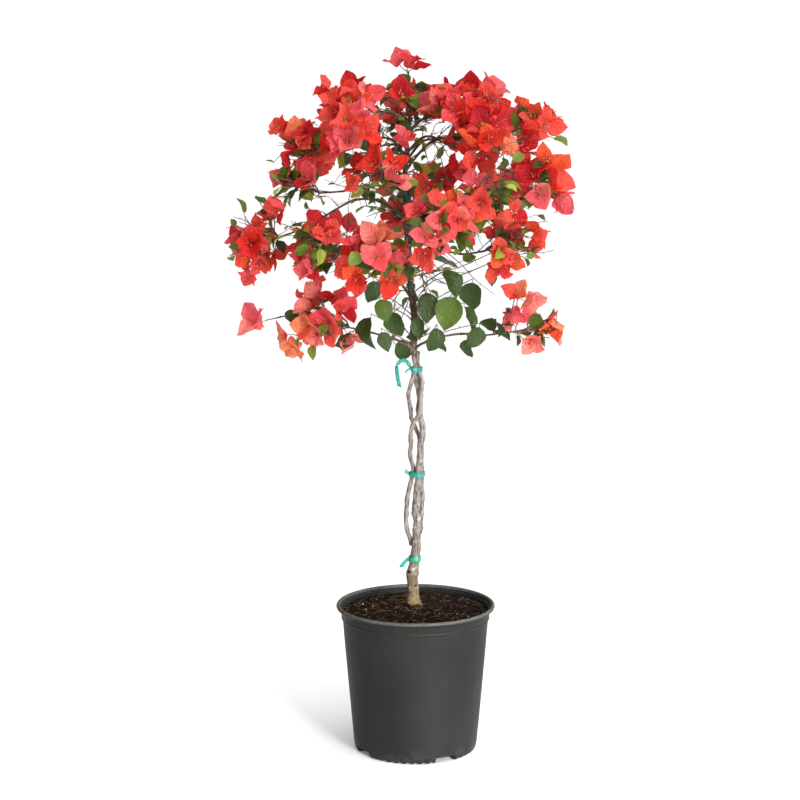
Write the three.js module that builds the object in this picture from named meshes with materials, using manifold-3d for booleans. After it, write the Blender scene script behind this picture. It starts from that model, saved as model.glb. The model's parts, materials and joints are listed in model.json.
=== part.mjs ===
// Bougainvillea grown as a small tree, in a plastic nursery pot.
// Three twisted stems are tied together, and the crown is a loose dome of flowering sprays.
// Millimetres, +Z up. The origin is the centre of the pot's flat underside, +X is the plant's
// right and -Y its front.
import * as THREE from "three";
import { mergeVertices } from "three/addons/utils/BufferGeometryUtils.js";
import Module from "manifold-3d";

const wasm = await Module();
wasm.setup();

// ---------------------------------------------------------------- driving sizes
const GAP = 0.35; // between neighbouring solids
const CLEAR = 1.2; // from a leaf or twig to a limb or to the edge of its own space
const DEG = Math.PI / 180;

const pot = {
  height: 258,
  wall: 2.4,
  floor: 3,
  footRadius: 103,
  bodyFootRadius: 107.3, // just above the rounded foot
  bodyTopRadius: 126.6, // under the collar
  collarRadius: 128.8,
  collarHeight: 15,
  lipRadius: 137.5,
  lipHeight: 7,
  footRise: 9,
  drains: 4,
  drainTurn: 30, // degrees round to the first
  drainWidth: 40,
  drainHeight: 9,
  drainDepth: 9,
  sides: 28,
};
// Heights where the lip, the collar and the step under the collar begin.
const lipFoot = pot.height - pot.lipHeight;
const collarFoot = lipFoot - pot.collarHeight;
const bodyTop = collarFoot - 3;
const soil = { edgeBelowRim: 11, crownBelowRim: 2, flatRadius: 24, footInset: 5 };
const groundLevel = pot.height - soil.crownBelowRim;

// Heights of the five ties on the trunk.
const tieHeights = [338, 486, 670, 812, 978];
const [firstTie, secondTie, thirdTie] = tieHeights;
const tieTape = { width: 9, thickness: 0.9, slack: 0.5, sides: 12 };

// The line that the bundle of stems follows: [height, x].
const lean = [
  [groundLevel, -3],
  [firstTie, -3],
  [420, 3],
  [secondTie, 5],
  [thirdTie, 1],
  [812, -6],
  [978, -20],
  [1030, -19],
  [1100, -10],
  [1150, -14],
];
const trunkFoot = groundLevel + GAP;
const trunkTop = 1146;
// How far round the stems have turned about that line: [height, degrees].
const twist = [
  [groundLevel, 0],
  [secondTie - 6, 0],
  [540, 20],
  [605, 120],
  [thirdTie, 190],
  [trunkTop, 200],
];

// One strand of the bundle: its place round the line, and its distance from the line at the
// fork, at the ties, and where the strands spread below and above the second tie.
const strands = {
  trunk: { phase: 290, atFork: 5.4, atTie: 5.4, low: 2, high: 7.5, seed: 1 },
  stem_right: { phase: 170, atFork: 4, atTie: 5.6, low: 20, high: 14.5, seed: 2 },
  stem_left: { phase: 50, atFork: 4, atTie: 5.6, low: 10, high: 14.5, seed: 3 },
};
const trunkGirth = [
  [trunkFoot, 12.5],
  [trunkFoot + 9, 10.4],
  [286, 9.2],
  [312, 9.8],
  [338, 8.4],
  [364, 7.4],
  [442, 6.2],
  [494, 5.4],
  [676, 5],
  [728, 6],
  [910, 5.2],
  [1040, 3.8],
  [trunkTop, 2.2],
];
const sideStem = {
  stem_right: { from: 360, to: 700, girth: 3.9, tip: 3.4 },
  stem_left: { from: 358, to: 694, girth: 3.9, tip: 3.4 },
};
const nodeEvery = 26; // between the nodes where a stem kinks
const kinkSize = 3;
const forkHeight = 358; // where the side stems leave the trunk
const rootFlare = 9; // height of the flare at the trunk's foot
const nodeHeights = [trunkFoot, trunkFoot + rootFlare];
for (let node = 286; node < trunkTop - 10; node += nodeEvery) nodeHeights.push(node);
nodeHeights.push(trunkTop);

// A spray's flower of three bracts, a crown leaf and a hanging leaf at the foot of the crown.
const flower = {
  radius: 34,
  sizes: [1, 0.85, 0.72], // tried in turn, as shares of the radius
  loneSize: 0.58, // of a flower at the end of a long spray
  innerPole: 0.1, // of the radius, along the way it faces
  outerPole: -0.06,
  // Round one bract's edge: reach and lift as shares of the radius, and degrees turned.
  rim: [
    [0.4, 0.1, 0],
    [0.86, 0.3, -9],
    [1.02, 0.5, 0],
    [0.86, 0.3, 9],
  ],
  lobes: 3,
};
const leafThickness = 0.04; // of the leaf's length
const leafWidest = 0.4; // how far along a leaf it is widest
const crownLeaf = { length: 40, width: 26 };
const hangingLeaf = { length: 60, width: 46 };
const twigGirth = 1.5;
const boughGirth = { root: 3.9, tip: 2.5 };
const sprayDirections = 37; // a mass tries this many even directions for its sprays
const sprayStride = 14;
const sprayCeiling = 1150; // only the long sprays stand higher
const leafDirections = 40;
const leafTries = 6; // for each leaf that a mass is to carry
const boughStep = 40; // between a bough's nodes
const boughKink = 4.5;
// Shares of its level reach that a bough arches, from the trunk and on from a stem.
const boughArch = { trunk: 0.18, stem: 0.05 };
const stemRise = 9; // that a bough goes on upwards from its stem
const entryReach = 0.82; // where a bough meets its mass, as a share of the mass's reach

const masses = [];
/** Notes a mass of foliage: where its middle is, how far it reaches and what it carries. */
function addMass(name, centre, half, { sprays, leaves, from, tips = [], blooms = true }) {
  const at = (place) => new THREE.Vector3(...place);
  masses.push({
    name,
    index: masses.length,
    centre: at(centre),
    half: at(half),
    sprays,
    leaves,
    from, // the height where its bough leaves the trunk, or the stem that its bough ends
    tips: tips.map(at), // ends of long sprays that stand out of the mass
    blooms,
    twigs: [], // grown so far: path and solid
    blades: [], // solids of the flowers and leaves grown so far
  });
}
addMass("crown_top", [-14, 0, 1156], [46, 46, 46], {
  sprays: 4,
  leaves: 3,
  from: "trunk tip",
  tips: [[-15, -4, 1192]],
});
addMass("top_left", [-104, -20, 1130], [54, 58, 36], {
  sprays: 6,
  leaves: 3,
  from: 1078,
  tips: [[-152, -15, 1146]],
});
addMass("top_right", [88, -20, 1126], [64, 62, 34], { sprays: 7, leaves: 3, from: 1062 });
addMass("upper_left", [-190, -10, 1046], [54, 66, 42], {
  sprays: 7,
  leaves: 3,
  from: 992,
  tips: [[-262, -10, 1030]],
});
addMass("upper_left_front", [-104, -108, 1072], [58, 54, 42], {
  sprays: 6,
  leaves: 3,
  from: 1018,
});
addMass("upper_right_front", [104, -108, 1064], [66, 58, 44], {
  sprays: 7,
  leaves: 3,
  from: 1036,
});
addMass("upper_right", [186, 5, 1074], [58, 66, 40], {
  sprays: 6,
  leaves: 3,
  from: 1008,
  tips: [[244, 0, 1058]],
});
addMass("right_edge", [204, -15, 994], [44, 66, 62], { sprays: 7, leaves: 3, from: 852 });
addMass("mid_right", [122, -128, 982], [60, 56, 42], { sprays: 5, leaves: 6, from: 900 });
addMass("front_centre", [36, -160, 930], [66, 58, 56], { sprays: 8, leaves: 3, from: 868 });
addMass("front_left_low", [-66, -148, 872], [68, 60, 46], { sprays: 7, leaves: 4, from: 832 });
addMass("left_mid", [-160, -84, 884], [56, 60, 50], { sprays: 6, leaves: 4, from: 786 });
addMass("left_edge", [-268, -10, 892], [52, 62, 62], {
  sprays: 7,
  leaves: 3,
  from: 926,
  tips: [[-305, -10, 896]],
});
addMass("left_upper_mid", [-196, -56, 984], [58, 56, 40], { sprays: 4, leaves: 7, from: 942 });
addMass("centre_upper", [-70, -118, 1008], [54, 50, 38], { sprays: 5, leaves: 4, from: 1004 });
addMass("right_mid", [152, -60, 894], [72, 60, 40], {
  sprays: 6,
  leaves: 5,
  from: 824,
  tips: [[196, -50, 884]],
});
addMass("low_leaves", [4, -50, 792], [100, 44, 66], {
  sprays: 9,
  leaves: 20,
  from: "trunk front",
  blooms: false,
});
addMass("low_leaves_back", [-6, 50, 796], [84, 42, 60], {
  sprays: 6,
  leaves: 10,
  from: "trunk back",
  blooms: false,
});
addMass("low_left", [-150, -30, 760], [60, 58, 54], {
  sprays: 7,
  leaves: 4,
  from: "stem_left",
  tips: [
    [-270, -30, 757],
    [-212, -34, 718],
  ],
});
addMass("low_right", [196, -20, 742], [54, 50, 38], {
  sprays: 3,
  leaves: 7,
  from: "stem_right",
  tips: [
    [236, -20, 738],
    [168, -40, 806],
  ],
});
addMass("back_top", [-16, 96, 1108], [76, 58, 40], { sprays: 6, leaves: 3, from: 1050 });
addMass("back_left", [-146, 136, 1046], [72, 62, 52], { sprays: 6, leaves: 4, from: 1030 });
addMass("back_right", [124, 132, 1052], [78, 64, 52], { sprays: 6, leaves: 4, from: 1022 });
addMass("back_mid_right", [146, 128, 944], [68, 62, 52], { sprays: 6, leaves: 4, from: 884 });
addMass("back_centre", [-10, 168, 946], [78, 62, 56], { sprays: 6, leaves: 4, from: 846 });
addMass("back_low_left", [-152, 122, 862], [72, 62, 52], { sprays: 6, leaves: 4, from: 830 });
const crownMiddle = new THREE.Vector3(-20, 0, 880);

const looks = {
  pot: { color: 0x35373a, roughness: 0.62, metalness: 0 },
  soil: { color: 0x3a2618, roughness: 0.95, metalness: 0 },
  bark: { color: 0xa89a88, roughness: 0.9, metalness: 0 },
  tape: { color: 0x16b49a, roughness: 0.5, metalness: 0 },
  blossom: { color: 0xe2473f, roughness: 0.7, metalness: 0 },
  foliage: { color: 0x4d7a2c, roughness: 0.6, metalness: 0 },
};

// ---------------------------------------------------------------- small tools
const vector = (x, y, z) => new THREE.Vector3(x, y, z);
const UP = vector(0, 0, 1);

/** A repeatable number from 0 to 1 for draw number `draw` of item `item` in group `group`. */
function chance(group, item, draw) {
  const wave = Math.sin(group * 127.1 + item * 311.7 + draw * 74.7 + 0.5) * 43758.5453;
  return wave - Math.floor(wave);
}

/** The value at `at` on a line through [at, value] pairs. */
function along(line, at) {
  const next = line.findIndex(([place]) => place >= at);
  if (next === 0) return line[0][1];
  if (next < 0) return line[line.length - 1][1];
  const [[a, low], [b, high]] = [line[next - 1], line[next]];
  return low + ((high - low) * (at - a)) / (b - a);
}

/** A closed geometry as a manifold-3d solid. */
function solidOf(geometry) {
  const bare = geometry.clone();
  bare.deleteAttribute("normal");
  bare.deleteAttribute("uv");
  const merged = mergeVertices(bare, 1e-3);
  return new wasm.Manifold(
    new wasm.Mesh({
      numProp: 3,
      vertProperties: merged.attributes.position.array,
      triVerts: new Uint32Array(merged.index.array),
    }),
  );
}

/** A manifold-3d solid as a named mesh. */
function meshOf(name, solid, look) {
  const { numProp, vertProperties, triVerts } = solid.getMesh();
  const places = new Float32Array((vertProperties.length / numProp) * 3);
  for (let i = 0; i < places.length / 3; i++)
    places.set(vertProperties.subarray(i * numProp, i * numProp + 3), i * 3);
  const geometry = new THREE.BufferGeometry()
    .setAttribute("position", new THREE.BufferAttribute(places, 3))
    .setIndex(new THREE.BufferAttribute(triVerts, 1));
  geometry.computeVertexNormals();
  const mesh = new THREE.Mesh(geometry, new THREE.MeshStandardMaterial(looks[look]));
  mesh.name = name;
  return mesh;
}

/** The largest body of a solid: a scrap that touches nothing is dropped. */
function largest(solid) {
  const bodies = solid.decompose();
  return bodies.reduce((best, body) => (body.volume() > best.volume() ? body : best));
}

/** Directions along a path of points, and a side direction that turns as little as it can. */
function framesOf(points, side) {
  let across = side?.clone();
  return points.map((_, i) => {
    const ahead = points[Math.min(i + 1, points.length - 1)];
    const behind = points[Math.max(i - 1, 0)];
    const forward = ahead.clone().sub(behind).normalize();
    if (!across) across = Math.abs(forward.z) < 0.9 ? UP.clone() : vector(1, 0, 0);
    across = across.clone().addScaledVector(forward, -across.dot(forward)).normalize();
    return { forward, across, above: forward.clone().cross(across) };
  });
}

/**
 * A solid that follows a path: corner(i, t) gives the outline's corners [across, above] at each
 * point, in turning order. The ends are flat, or the last is a point where `pointed` is set.
 * The outlines stand across the path, or lie level where `level` is set.
 */
function sweep(points, corners, corner, { side, pointed = false, level = false } = {}) {
  const flat = { across: vector(1, 0, 0), above: vector(0, 1, 0) };
  const frames = level ? points.map(() => flat) : framesOf(points, side);
  const rings = pointed ? points.length - 1 : points.length;
  const places = [];
  for (let i = 0; i < rings; i++) {
    for (let k = 0; k < corners; k++) {
      const [a, b] = corner(k, i / (points.length - 1));
      const place = points[i].clone();
      place.addScaledVector(frames[i].across, a).addScaledVector(frames[i].above, b);
      places.push(place);
    }
  }
  const faces = [];
  for (let i = 0; i + 1 < rings; i++) {
    for (let k = 0; k < corners; k++) {
      const [a, b] = [i * corners + k, i * corners + ((k + 1) % corners)];
      faces.push(a, b, b + corners, a, b + corners, a + corners);
    }
  }
  for (let k = 1; k + 1 < corners; k++) faces.push(0, k + 1, k);
  const last = (rings - 1) * corners;
  if (pointed) {
    places.push(points[points.length - 1]);
    for (let k = 0; k < corners; k++) {
      faces.push(last + k, last + ((k + 1) % corners), places.length - 1);
    }
  } else {
    for (let k = 1; k + 1 < corners; k++) faces.push(last, last + k, last + k + 1);
  }
  const geometry = new THREE.BufferGeometry().setFromPoints(places);
  geometry.setIndex(faces);
  return solidOf(geometry);
}

/** A round limb along a path, with a radius for each point. */
function limb(points, radiusAt, sides, options) {
  const round = (k, t) => {
    const angle = (k / sides) * 2 * Math.PI;
    const radius = radiusAt(t);
    return [radius * Math.cos(angle), radius * Math.sin(angle)];
  };
  return sweep(points, sides, round, options);
}

// ---------------------------------------------------------------- pot and soil
/** Outer radius of the pot's body at a height. */
function bodyRadius(height) {
  const share = (height - pot.footRise) / (bodyTop - pot.footRise);
  return THREE.MathUtils.lerp(pot.bodyFootRadius, pot.bodyTopRadius, share);
}

/** The pot's shell: rounded foot, tapering body, collar and rolled lip. */
function potShell() {
  const inside = (radius) => radius - pot.wall;
  const profile = [
    [0, 0],
    [pot.footRadius, 0],
    [pot.footRadius + 3, pot.footRise / 2],
    [pot.bodyFootRadius, pot.footRise],
    [pot.bodyTopRadius, bodyTop],
    [pot.collarRadius, collarFoot],
    [pot.collarRadius, lipFoot],
    [pot.lipRadius - 1, lipFoot],
    [pot.lipRadius, lipFoot + pot.lipHeight / 2],
    [pot.lipRadius - 2, pot.height],
    [pot.lipRadius - 5, pot.height],
    [inside(pot.collarRadius), lipFoot + 1],
    [inside(pot.collarRadius), collarFoot + 1],
    [inside(pot.bodyTopRadius), bodyTop],
    [inside(pot.bodyFootRadius), pot.footRise],
    [inside(pot.footRadius), pot.floor],
    [0, pot.floor],
  ].map(([radius, height]) => new THREE.Vector2(radius, height));
  const shell = new THREE.LatheGeometry(profile, pot.sides).rotateX(Math.PI / 2);
  return drained(solidOf(shell));
}

/** The shell with drain notches where its wall meets the floor. */
function drained(shell) {
  let solid = shell;
  for (let i = 0; i < pot.drains; i++) {
    const notch = new THREE.BoxGeometry(pot.drainDepth * 2, pot.drainWidth, pot.drainHeight * 2);
    notch.translate(pot.footRadius + 1, 0, 0);
    notch.rotateZ((pot.drainTurn + (i / pot.drains) * 360) * DEG);
    solid = solid.subtract(solidOf(notch));
  }
  return solid;
}

/** The root ball, which fills the pot and rises a little towards the trunk. */
function rootBall() {
  const fits = (radius) => radius - pot.wall - GAP;
  const edge = pot.height - soil.edgeBelowRim;
  const overDrains = pot.drainHeight + 4;
  const profile = [
    [0, pot.floor + GAP],
    [fits(pot.footRadius) - soil.footInset, pot.floor + GAP],
    [fits(bodyRadius(overDrains)), overDrains],
    [fits(pot.bodyTopRadius) - 0.3, bodyTop],
    [fits(pot.collarRadius), collarFoot + 5],
    [fits(pot.collarRadius), edge],
    [soil.flatRadius, groundLevel],
    [0, groundLevel],
  ].map(([radius, height]) => new THREE.Vector2(radius, height));
  return solidOf(new THREE.LatheGeometry(profile, pot.sides).rotateX(Math.PI / 2));
}

// ---------------------------------------------------------------- trunk and stems
/** How far a strand stands from the bundle's line at a height: it bulges between the ties. */
function strandDistance({ atFork, atTie, low, high }, height) {
  const share = (from, to) => THREE.MathUtils.clamp((height - from) / (to - from), 0, 1);
  const below = share(forkHeight, secondTie);
  const above = share(secondTie, thirdTie);
  const between = THREE.MathUtils.lerp(atFork, atTie, below);
  const lowBulge = (low - atTie) * Math.sin(Math.PI * below);
  const highBulge = (high - atTie) * Math.sqrt(Math.sin(Math.PI * above));
  return between + lowBulge + highBulge;
}

/** The centre of a strand at a node: round the leaning line, with a small kink. */
function centreAtNode(name, node) {
  const height = nodeHeights[node];
  const strand = strands[name];
  const angle = (strand.phase + along(twist, height)) * DEG;
  let distance = strandDistance(strand, height);
  if (name === "trunk") {
    // The trunk is alone below the first tie and above the third.
    const below = THREE.MathUtils.smoothstep(height, firstTie, firstTie + 60);
    const above = 1 - THREE.MathUtils.smoothstep(height, thirdTie + 10, thirdTie + 70);
    distance *= Math.min(below, above);
  }
  const kink = (draw) => (chance(strand.seed, node, draw) - 0.5) * 2 * kinkSize;
  const x = along(lean, height) + distance * Math.cos(angle) + kink(1);
  return vector(x, distance * Math.sin(angle) + kink(2), height);
}

/** The centre of a strand at any height, straight from node to node. */
function strandCentre(name, height) {
  const above = THREE.MathUtils.clamp(
    nodeHeights.findIndex((node) => node >= height),
    1,
    nodeHeights.length - 1,
  );
  const low = centreAtNode(name, above - 1);
  const high = centreAtNode(name, above);
  return low.lerp(high, (height - low.z) / (high.z - low.z));
}

/** The heights of a strand's rings: its ends, and the nodes between. */
function ringHeights(from, to) {
  return [from, ...nodeHeights.filter((node) => node > from + 4 && node < to - 4), to];
}

/** A strand's radius at a height. */
function strandGirth(name, height) {
  if (name === "trunk") return along(trunkGirth, height);
  const { from, to, girth, tip } = sideStem[name];
  return THREE.MathUtils.lerp(girth, tip, (height - from) / (to - from));
}

/** A strand as a solid, grown all round by `extra`. */
function strandSolid(name, from, to, sides, extra = 0) {
  const heights = ringHeights(from, to);
  const points = heights.map((height) => strandCentre(name, height));
  const radii = heights.map((height) => strandGirth(name, height) + extra);
  const radiusAt = (t) => radii[Math.round(t * (radii.length - 1))];
  return limb(points, radiusAt, sides, { level: true });
}

// The room that every limb needs, by its node's name. Foliage keeps out of it.
const limbRooms = new Map();

const trunk = strandSolid("trunk", trunkFoot, trunkTop, 7);
const trunkCut = strandSolid("trunk", trunkFoot, trunkTop, 7, GAP);
limbRooms.set("trunk", strandSolid("trunk", trunkFoot, trunkTop, 7, CLEAR));

/** A side stem, cut clear of the trunk that it leaves. */
function sideStemSolid(name) {
  const { from, to } = sideStem[name];
  limbRooms.set(name, strandSolid(name, from, to, 6, CLEAR));
  return largest(strandSolid(name, from, to, 6).subtract(trunkCut));
}

// ---------------------------------------------------------------- boughs
/** Where a mass's own stem begins: on the near side of its space. */
function entryOf(mass, start) {
  const inward = start.clone().sub(mass.centre).normalize();
  const reach = 1 / inward.clone().divide(mass.half).length();
  return mass.centre.clone().addScaledVector(inward, reach * entryReach);
}

/** The line of a bough, from the trunk or a side stem's tip to its mass. */
function boughPath(mass) {
  const fromStem = mass.from in sideStem;
  const name = fromStem ? mass.from : "trunk";
  const height = fromStem ? sideStem[name].to : mass.from;
  const start = strandCentre(name, height);
  const points = [];
  if (fromStem) {
    // It goes on upwards from the stem before it bends away.
    points.push(start.clone().setZ(height + GAP));
    start.z += stemRise;
  }
  points.push(start);
  const end = entryOf(mass, start);
  const span = end.clone().sub(start);
  const level = Math.hypot(span.x, span.y);
  const steps = Math.max(4, Math.round(span.length() / boughStep));
  // It leaves steeply and levels out, with a kink at each node.
  const arch = level * (fromStem ? boughArch.stem : boughArch.trunk);
  for (let i = 1; i <= steps; i++) {
    const t = i / steps;
    const point = start.clone().addScaledVector(span, t);
    point.z += arch * Math.sin(Math.PI * t) * (1 - t) * 2;
    if (i < steps) {
      point.x += (chance(40 + mass.index, i, 1) - 0.5) * boughKink;
      point.y += (chance(40 + mass.index, i, 2) - 0.5) * boughKink;
      point.z += (chance(40 + mass.index, i, 3) - 0.5) * boughKink;
    }
    points.push(point);
  }
  return points;
}

/** A bough as a solid, cut clear of the trunk. */
function boughSolid(mass) {
  const points = boughPath(mass);
  const radiusAt = (t) => THREE.MathUtils.lerp(boughGirth.root, boughGirth.tip, Math.sqrt(t));
  limbRooms.set("bough_" + mass.name, limb(points, (t) => radiusAt(t) + CLEAR, 4));
  mass.entry = points[points.length - 1];
  mass.entryAhead = mass.entry.clone().sub(points[points.length - 2]).normalize();
  return largest(limb(points, radiusAt, 4).subtract(trunkCut));
}

// ---------------------------------------------------------------- foliage
/** How far a point is inside a mass's own space, short of its neighbours'. */
function roomIn(mass, point) {
  const reach = (m) => m.half.length() / Math.sqrt(3);
  const power = (m) => point.distanceToSquared(m.centre) - reach(m) ** 2;
  const own = power(mass);
  let room = Infinity;
  for (const other of masses) {
    if (other === mass) continue;
    const apart = other.centre.distanceTo(mass.centre);
    room = Math.min(room, (power(other) - own) / (2 * apart));
  }
  return room;
}

/** Whether points, the corners of something straight-edged, are inside a mass's own space. */
function isInside(mass, points) {
  return points.every((point) => roomIn(mass, point) > CLEAR);
}

/** The corners of a geometry. */
function cornersOf({ attributes: { position } }) {
  return Array.from({ length: position.count }, (_, i) =>
    vector(0, 0, 0).fromBufferAttribute(position, i),
  );
}

/** Whether a solid runs into any of the others. */
function touches(solid, others) {
  return others.some((other) => !solid.intersect(other).isEmpty());
}

/** Whether a solid of a mass runs into a limb, or into the stem of another mass. */
function touchesLimb(mass, solid) {
  const rooms = [...limbRooms].filter(([name]) => name !== mass.name);
  return touches(
    solid,
    rooms.map(([, room]) => room),
  );
}

/** The point at share `t` of a path, with each of its stretches taken as equally long. */
function pointOn(path, t) {
  const at = THREE.MathUtils.clamp(t, 0, 1) * (path.length - 1);
  const i = Math.min(Math.floor(at), path.length - 2);
  return path[i].clone().lerp(path[i + 1], at - i);
}

/** The even direction number `k` of `count`, round a whole sphere. */
function evenDirection(k, count) {
  const z = 1 - (2 * (k + 0.5)) / count;
  const angle = k * Math.PI * (3 - Math.sqrt(5));
  const level = Math.sqrt(1 - z * z);
  return vector(level * Math.cos(angle), level * Math.sin(angle), z);
}

/** The way out of the crown at a point. */
function outwardAt(point) {
  return point.clone().sub(crownMiddle).normalize();
}

/** A flower of three bracts, as a thin cup with three lobes that opens along `facing`. */
function flowerShape(base, facing, radius, spin) {
  const corners = flower.rim.length * flower.lobes;
  const cup = new THREE.SphereGeometry(1, corners, 2).rotateX(Math.PI / 2);
  const places = cup.attributes.position;
  for (let i = 0; i < places.count; i++) {
    if (Math.abs(places.getZ(i)) > 0.5) {
      const pole = places.getZ(i) > 0 ? flower.innerPole : flower.outerPole;
      places.setXYZ(i, 0, 0, radius * pole);
      continue;
    }
    const step = (2 * Math.PI) / corners;
    const corner = Math.round(Math.atan2(places.getY(i), places.getX(i)) / step) + corners;
    const [reach, lift, turn] = flower.rim[corner % flower.rim.length];
    const angle = corner * step + turn * DEG;
    places.setXYZ(
      i,
      radius * reach * Math.cos(angle),
      radius * reach * Math.sin(angle),
      radius * lift,
    );
  }
  return cup.rotateZ(spin).applyQuaternion(facingTurn(facing)).translate(base.x, base.y, base.z);
}

/** The turn that brings +Z to the way that a flower faces. */
function facingTurn(facing) {
  return new THREE.Quaternion().setFromUnitVectors(UP, facing);
}

/** Where a flower's stalk ends: in the flesh of a bract, a little way out from the middle. */
function stalkEnd(base, facing, radius, spin) {
  const share = 0.28;
  const [reach, lift] = flower.rim[1]; // between this corner and the next
  const middle = (flower.innerPole + flower.outerPole) / 2;
  const angle = spin + (1.5 * 2 * Math.PI) / (flower.rim.length * flower.lobes);
  return vector(Math.cos(angle) * reach * share, Math.sin(angle) * reach * share, 0)
    .setZ(THREE.MathUtils.lerp(middle, lift, share))
    .multiplyScalar(radius)
    .applyQuaternion(facingTurn(facing))
    .add(base);
}

/**
 * A leaf of eight faces: a flat octahedron, widest near its stalk, with its root in its twig.
 * It points along `direction`, and its face is turned to `open` as far as it can be.
 */
function leafShape(root, direction, open, { length, width }) {
  const leaf = new THREE.OctahedronGeometry(1, 0);
  leaf.scale(length / 2, width / 2, length * leafThickness * 0.5);
  const places = leaf.attributes.position;
  for (let i = 0; i < places.count; i++) {
    const across = Math.abs(places.getX(i)) < 1;
    places.setX(i, across ? length * leafWidest : places.getX(i) + length / 2);
  }
  const face = open.clone().addScaledVector(direction, -open.dot(direction)).normalize();
  const side = face.clone().cross(direction);
  const turn = new THREE.Matrix4().makeBasis(direction, side, face).setPosition(root);
  return leaf.applyMatrix4(turn);
}

/** A mass's own stem: on from its bough, through its middle, to near its far side. */
function massStem(mass) {
  const start = mass.entry.clone().addScaledVector(mass.entryAhead, GAP);
  const through = mass.centre.clone().sub(start).normalize();
  const reach = 1 / through.clone().divide(mass.half).length();
  const end = mass.centre.clone().addScaledVector(through, reach * 0.35);
  const knee = start.clone().addScaledVector(mass.entryAhead, 6);
  return [start, knee, mass.centre.clone().lerp(knee, 0.3), end];
}

/** Where the tip of spray `k` is: even round the mass, drawn to the outside of the crown. */
function sprayTip(mass, k) {
  if (k < mass.tips.length) return mass.tips[k];
  const outward = outwardAt(mass.centre);
  const direction = evenDirection((k * sprayStride) % sprayDirections, sprayDirections);
  direction.addScaledVector(outward, 0.3).normalize();
  const reach = 0.7 + 0.2 * chance(mass.index, k, 1);
  const tip = mass.centre.clone().add(direction.multiply(mass.half).multiplyScalar(reach));
  tip.z = Math.min(tip.z, sprayCeiling);
  return tip;
}

/** Where the twig of a spray leaves the mass's stem. */
function sprayRoot({ stem }, tip) {
  const whole = stem[stem.length - 1].clone().sub(stem[0]);
  const share = tip.clone().sub(stem[0]).dot(whole) / whole.lengthSq();
  return pointOn(stem, THREE.MathUtils.clamp(share * 0.62, 0.34, 0.97));
}

/** The way a spray's flower faces: out from its mass, out from the crown, and up. */
function sprayFacing(mass, tip, k) {
  const facing = tip.clone().sub(mass.centre).normalize();
  facing.addScaledVector(outwardAt(tip), 0.8);
  facing.x += (chance(mass.index, k, 2) - 0.5) * 0.7;
  facing.y += (chance(mass.index, k, 3) - 0.5) * 0.7;
  facing.z += chance(mass.index, k, 4) * 0.5;
  return facing.normalize();
}

/** Grows spray `k` of a mass, a twig with a flower at its end, where it has room. */
function growSpray(mass, k, size) {
  const tip = sprayTip(mass, k);
  const root = sprayRoot(mass, tip);
  if (!mass.blooms) {
    const twig = twigSolid(root, tip);
    if (!isInside(mass, [root, tip]) || touchesLimb(mass, twig)) return;
    mass.twigs.push({ path: [root, tip], solid: twig });
    return;
  }
  const facing = sprayFacing(mass, tip, k);
  const radius = flower.radius * size * (0.92 + 0.16 * chance(mass.index, k, 5));
  const spin = chance(mass.index, k, 6) * 2 * Math.PI;
  const base = tip.clone().addScaledVector(facing, -radius * 0.3);
  const shape = flowerShape(base, facing, radius, spin);
  if (!isInside(mass, [root, ...cornersOf(shape)])) return;
  const bloom = solidOf(shape);
  const end = stalkEnd(base, facing, radius, spin);
  const twig = twigSolid(root, end);
  const others = mass.twigs.map(({ solid }) => solid);
  if (touches(bloom, [...mass.blades, ...others]) || touches(twig, mass.blades)) return;
  if (touchesLimb(mass, bloom) || touchesLimb(mass, twig)) return;
  mass.blades.push(bloom);
  mass.twigs.push({ path: [root, end], solid: twig });
}

/** A straight twig, three-sided, that tapers to a point. */
function twigSolid(root, tip) {
  return limb([root, tip.clone().lerp(root, 0.08), tip], () => twigGirth, 3, { pointed: true });
}

/** Grows leaf `k` of a mass on one of its twigs, where it has room. */
function growLeaf(mass, k) {
  const draw = (number) => chance(mass.index + masses.length, k, number);
  const { length, width } = mass.blooms ? crownLeaf : hangingLeaf;
  const scale = 0.8 + 0.4 * draw(1);
  const twig = mass.twigs[k % mass.twigs.length];
  const root = pointOn(twig.path, 0.35 + 0.6 * draw(2));
  const ahead = twig.path[twig.path.length - 1].clone().sub(twig.path[0]).normalize();
  const anyDirection = (share) => evenDirection(Math.floor(share * leafDirections), leafDirections);
  const direction = anyDirection(draw(3));
  direction.addScaledVector(outwardAt(root), 0.5);
  direction.z -= mass.blooms ? 0.15 : 1.1;
  // It stands off its twig by at least half a right angle.
  direction.addScaledVector(ahead, -direction.dot(ahead)).normalize();
  direction.addScaledVector(ahead, draw(4)).normalize();
  const open = outwardAt(root).addScaledVector(anyDirection(draw(5)), 0.7);
  const size = { length: length * scale, width: width * scale };
  const shape = leafShape(root, direction, open, size);
  if (!isInside(mass, cornersOf(shape))) return false;
  const leaf = solidOf(shape);
  const others = mass.twigs.filter((other) => other !== twig).map(({ solid }) => solid);
  if (touches(leaf, [...mass.blades, ...others]) || touchesLimb(mass, leaf)) return false;
  mass.blades.push(leaf);
  return true;
}

/** A mass's own stem as a solid, grown all round by `extra`. */
function massStemSolid(mass, extra = 0) {
  const radiusAt = (t) => THREE.MathUtils.lerp(boughGirth.tip, twigGirth * 1.3, t) + extra;
  return limb(mass.stem, radiusAt, 5);
}

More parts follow.
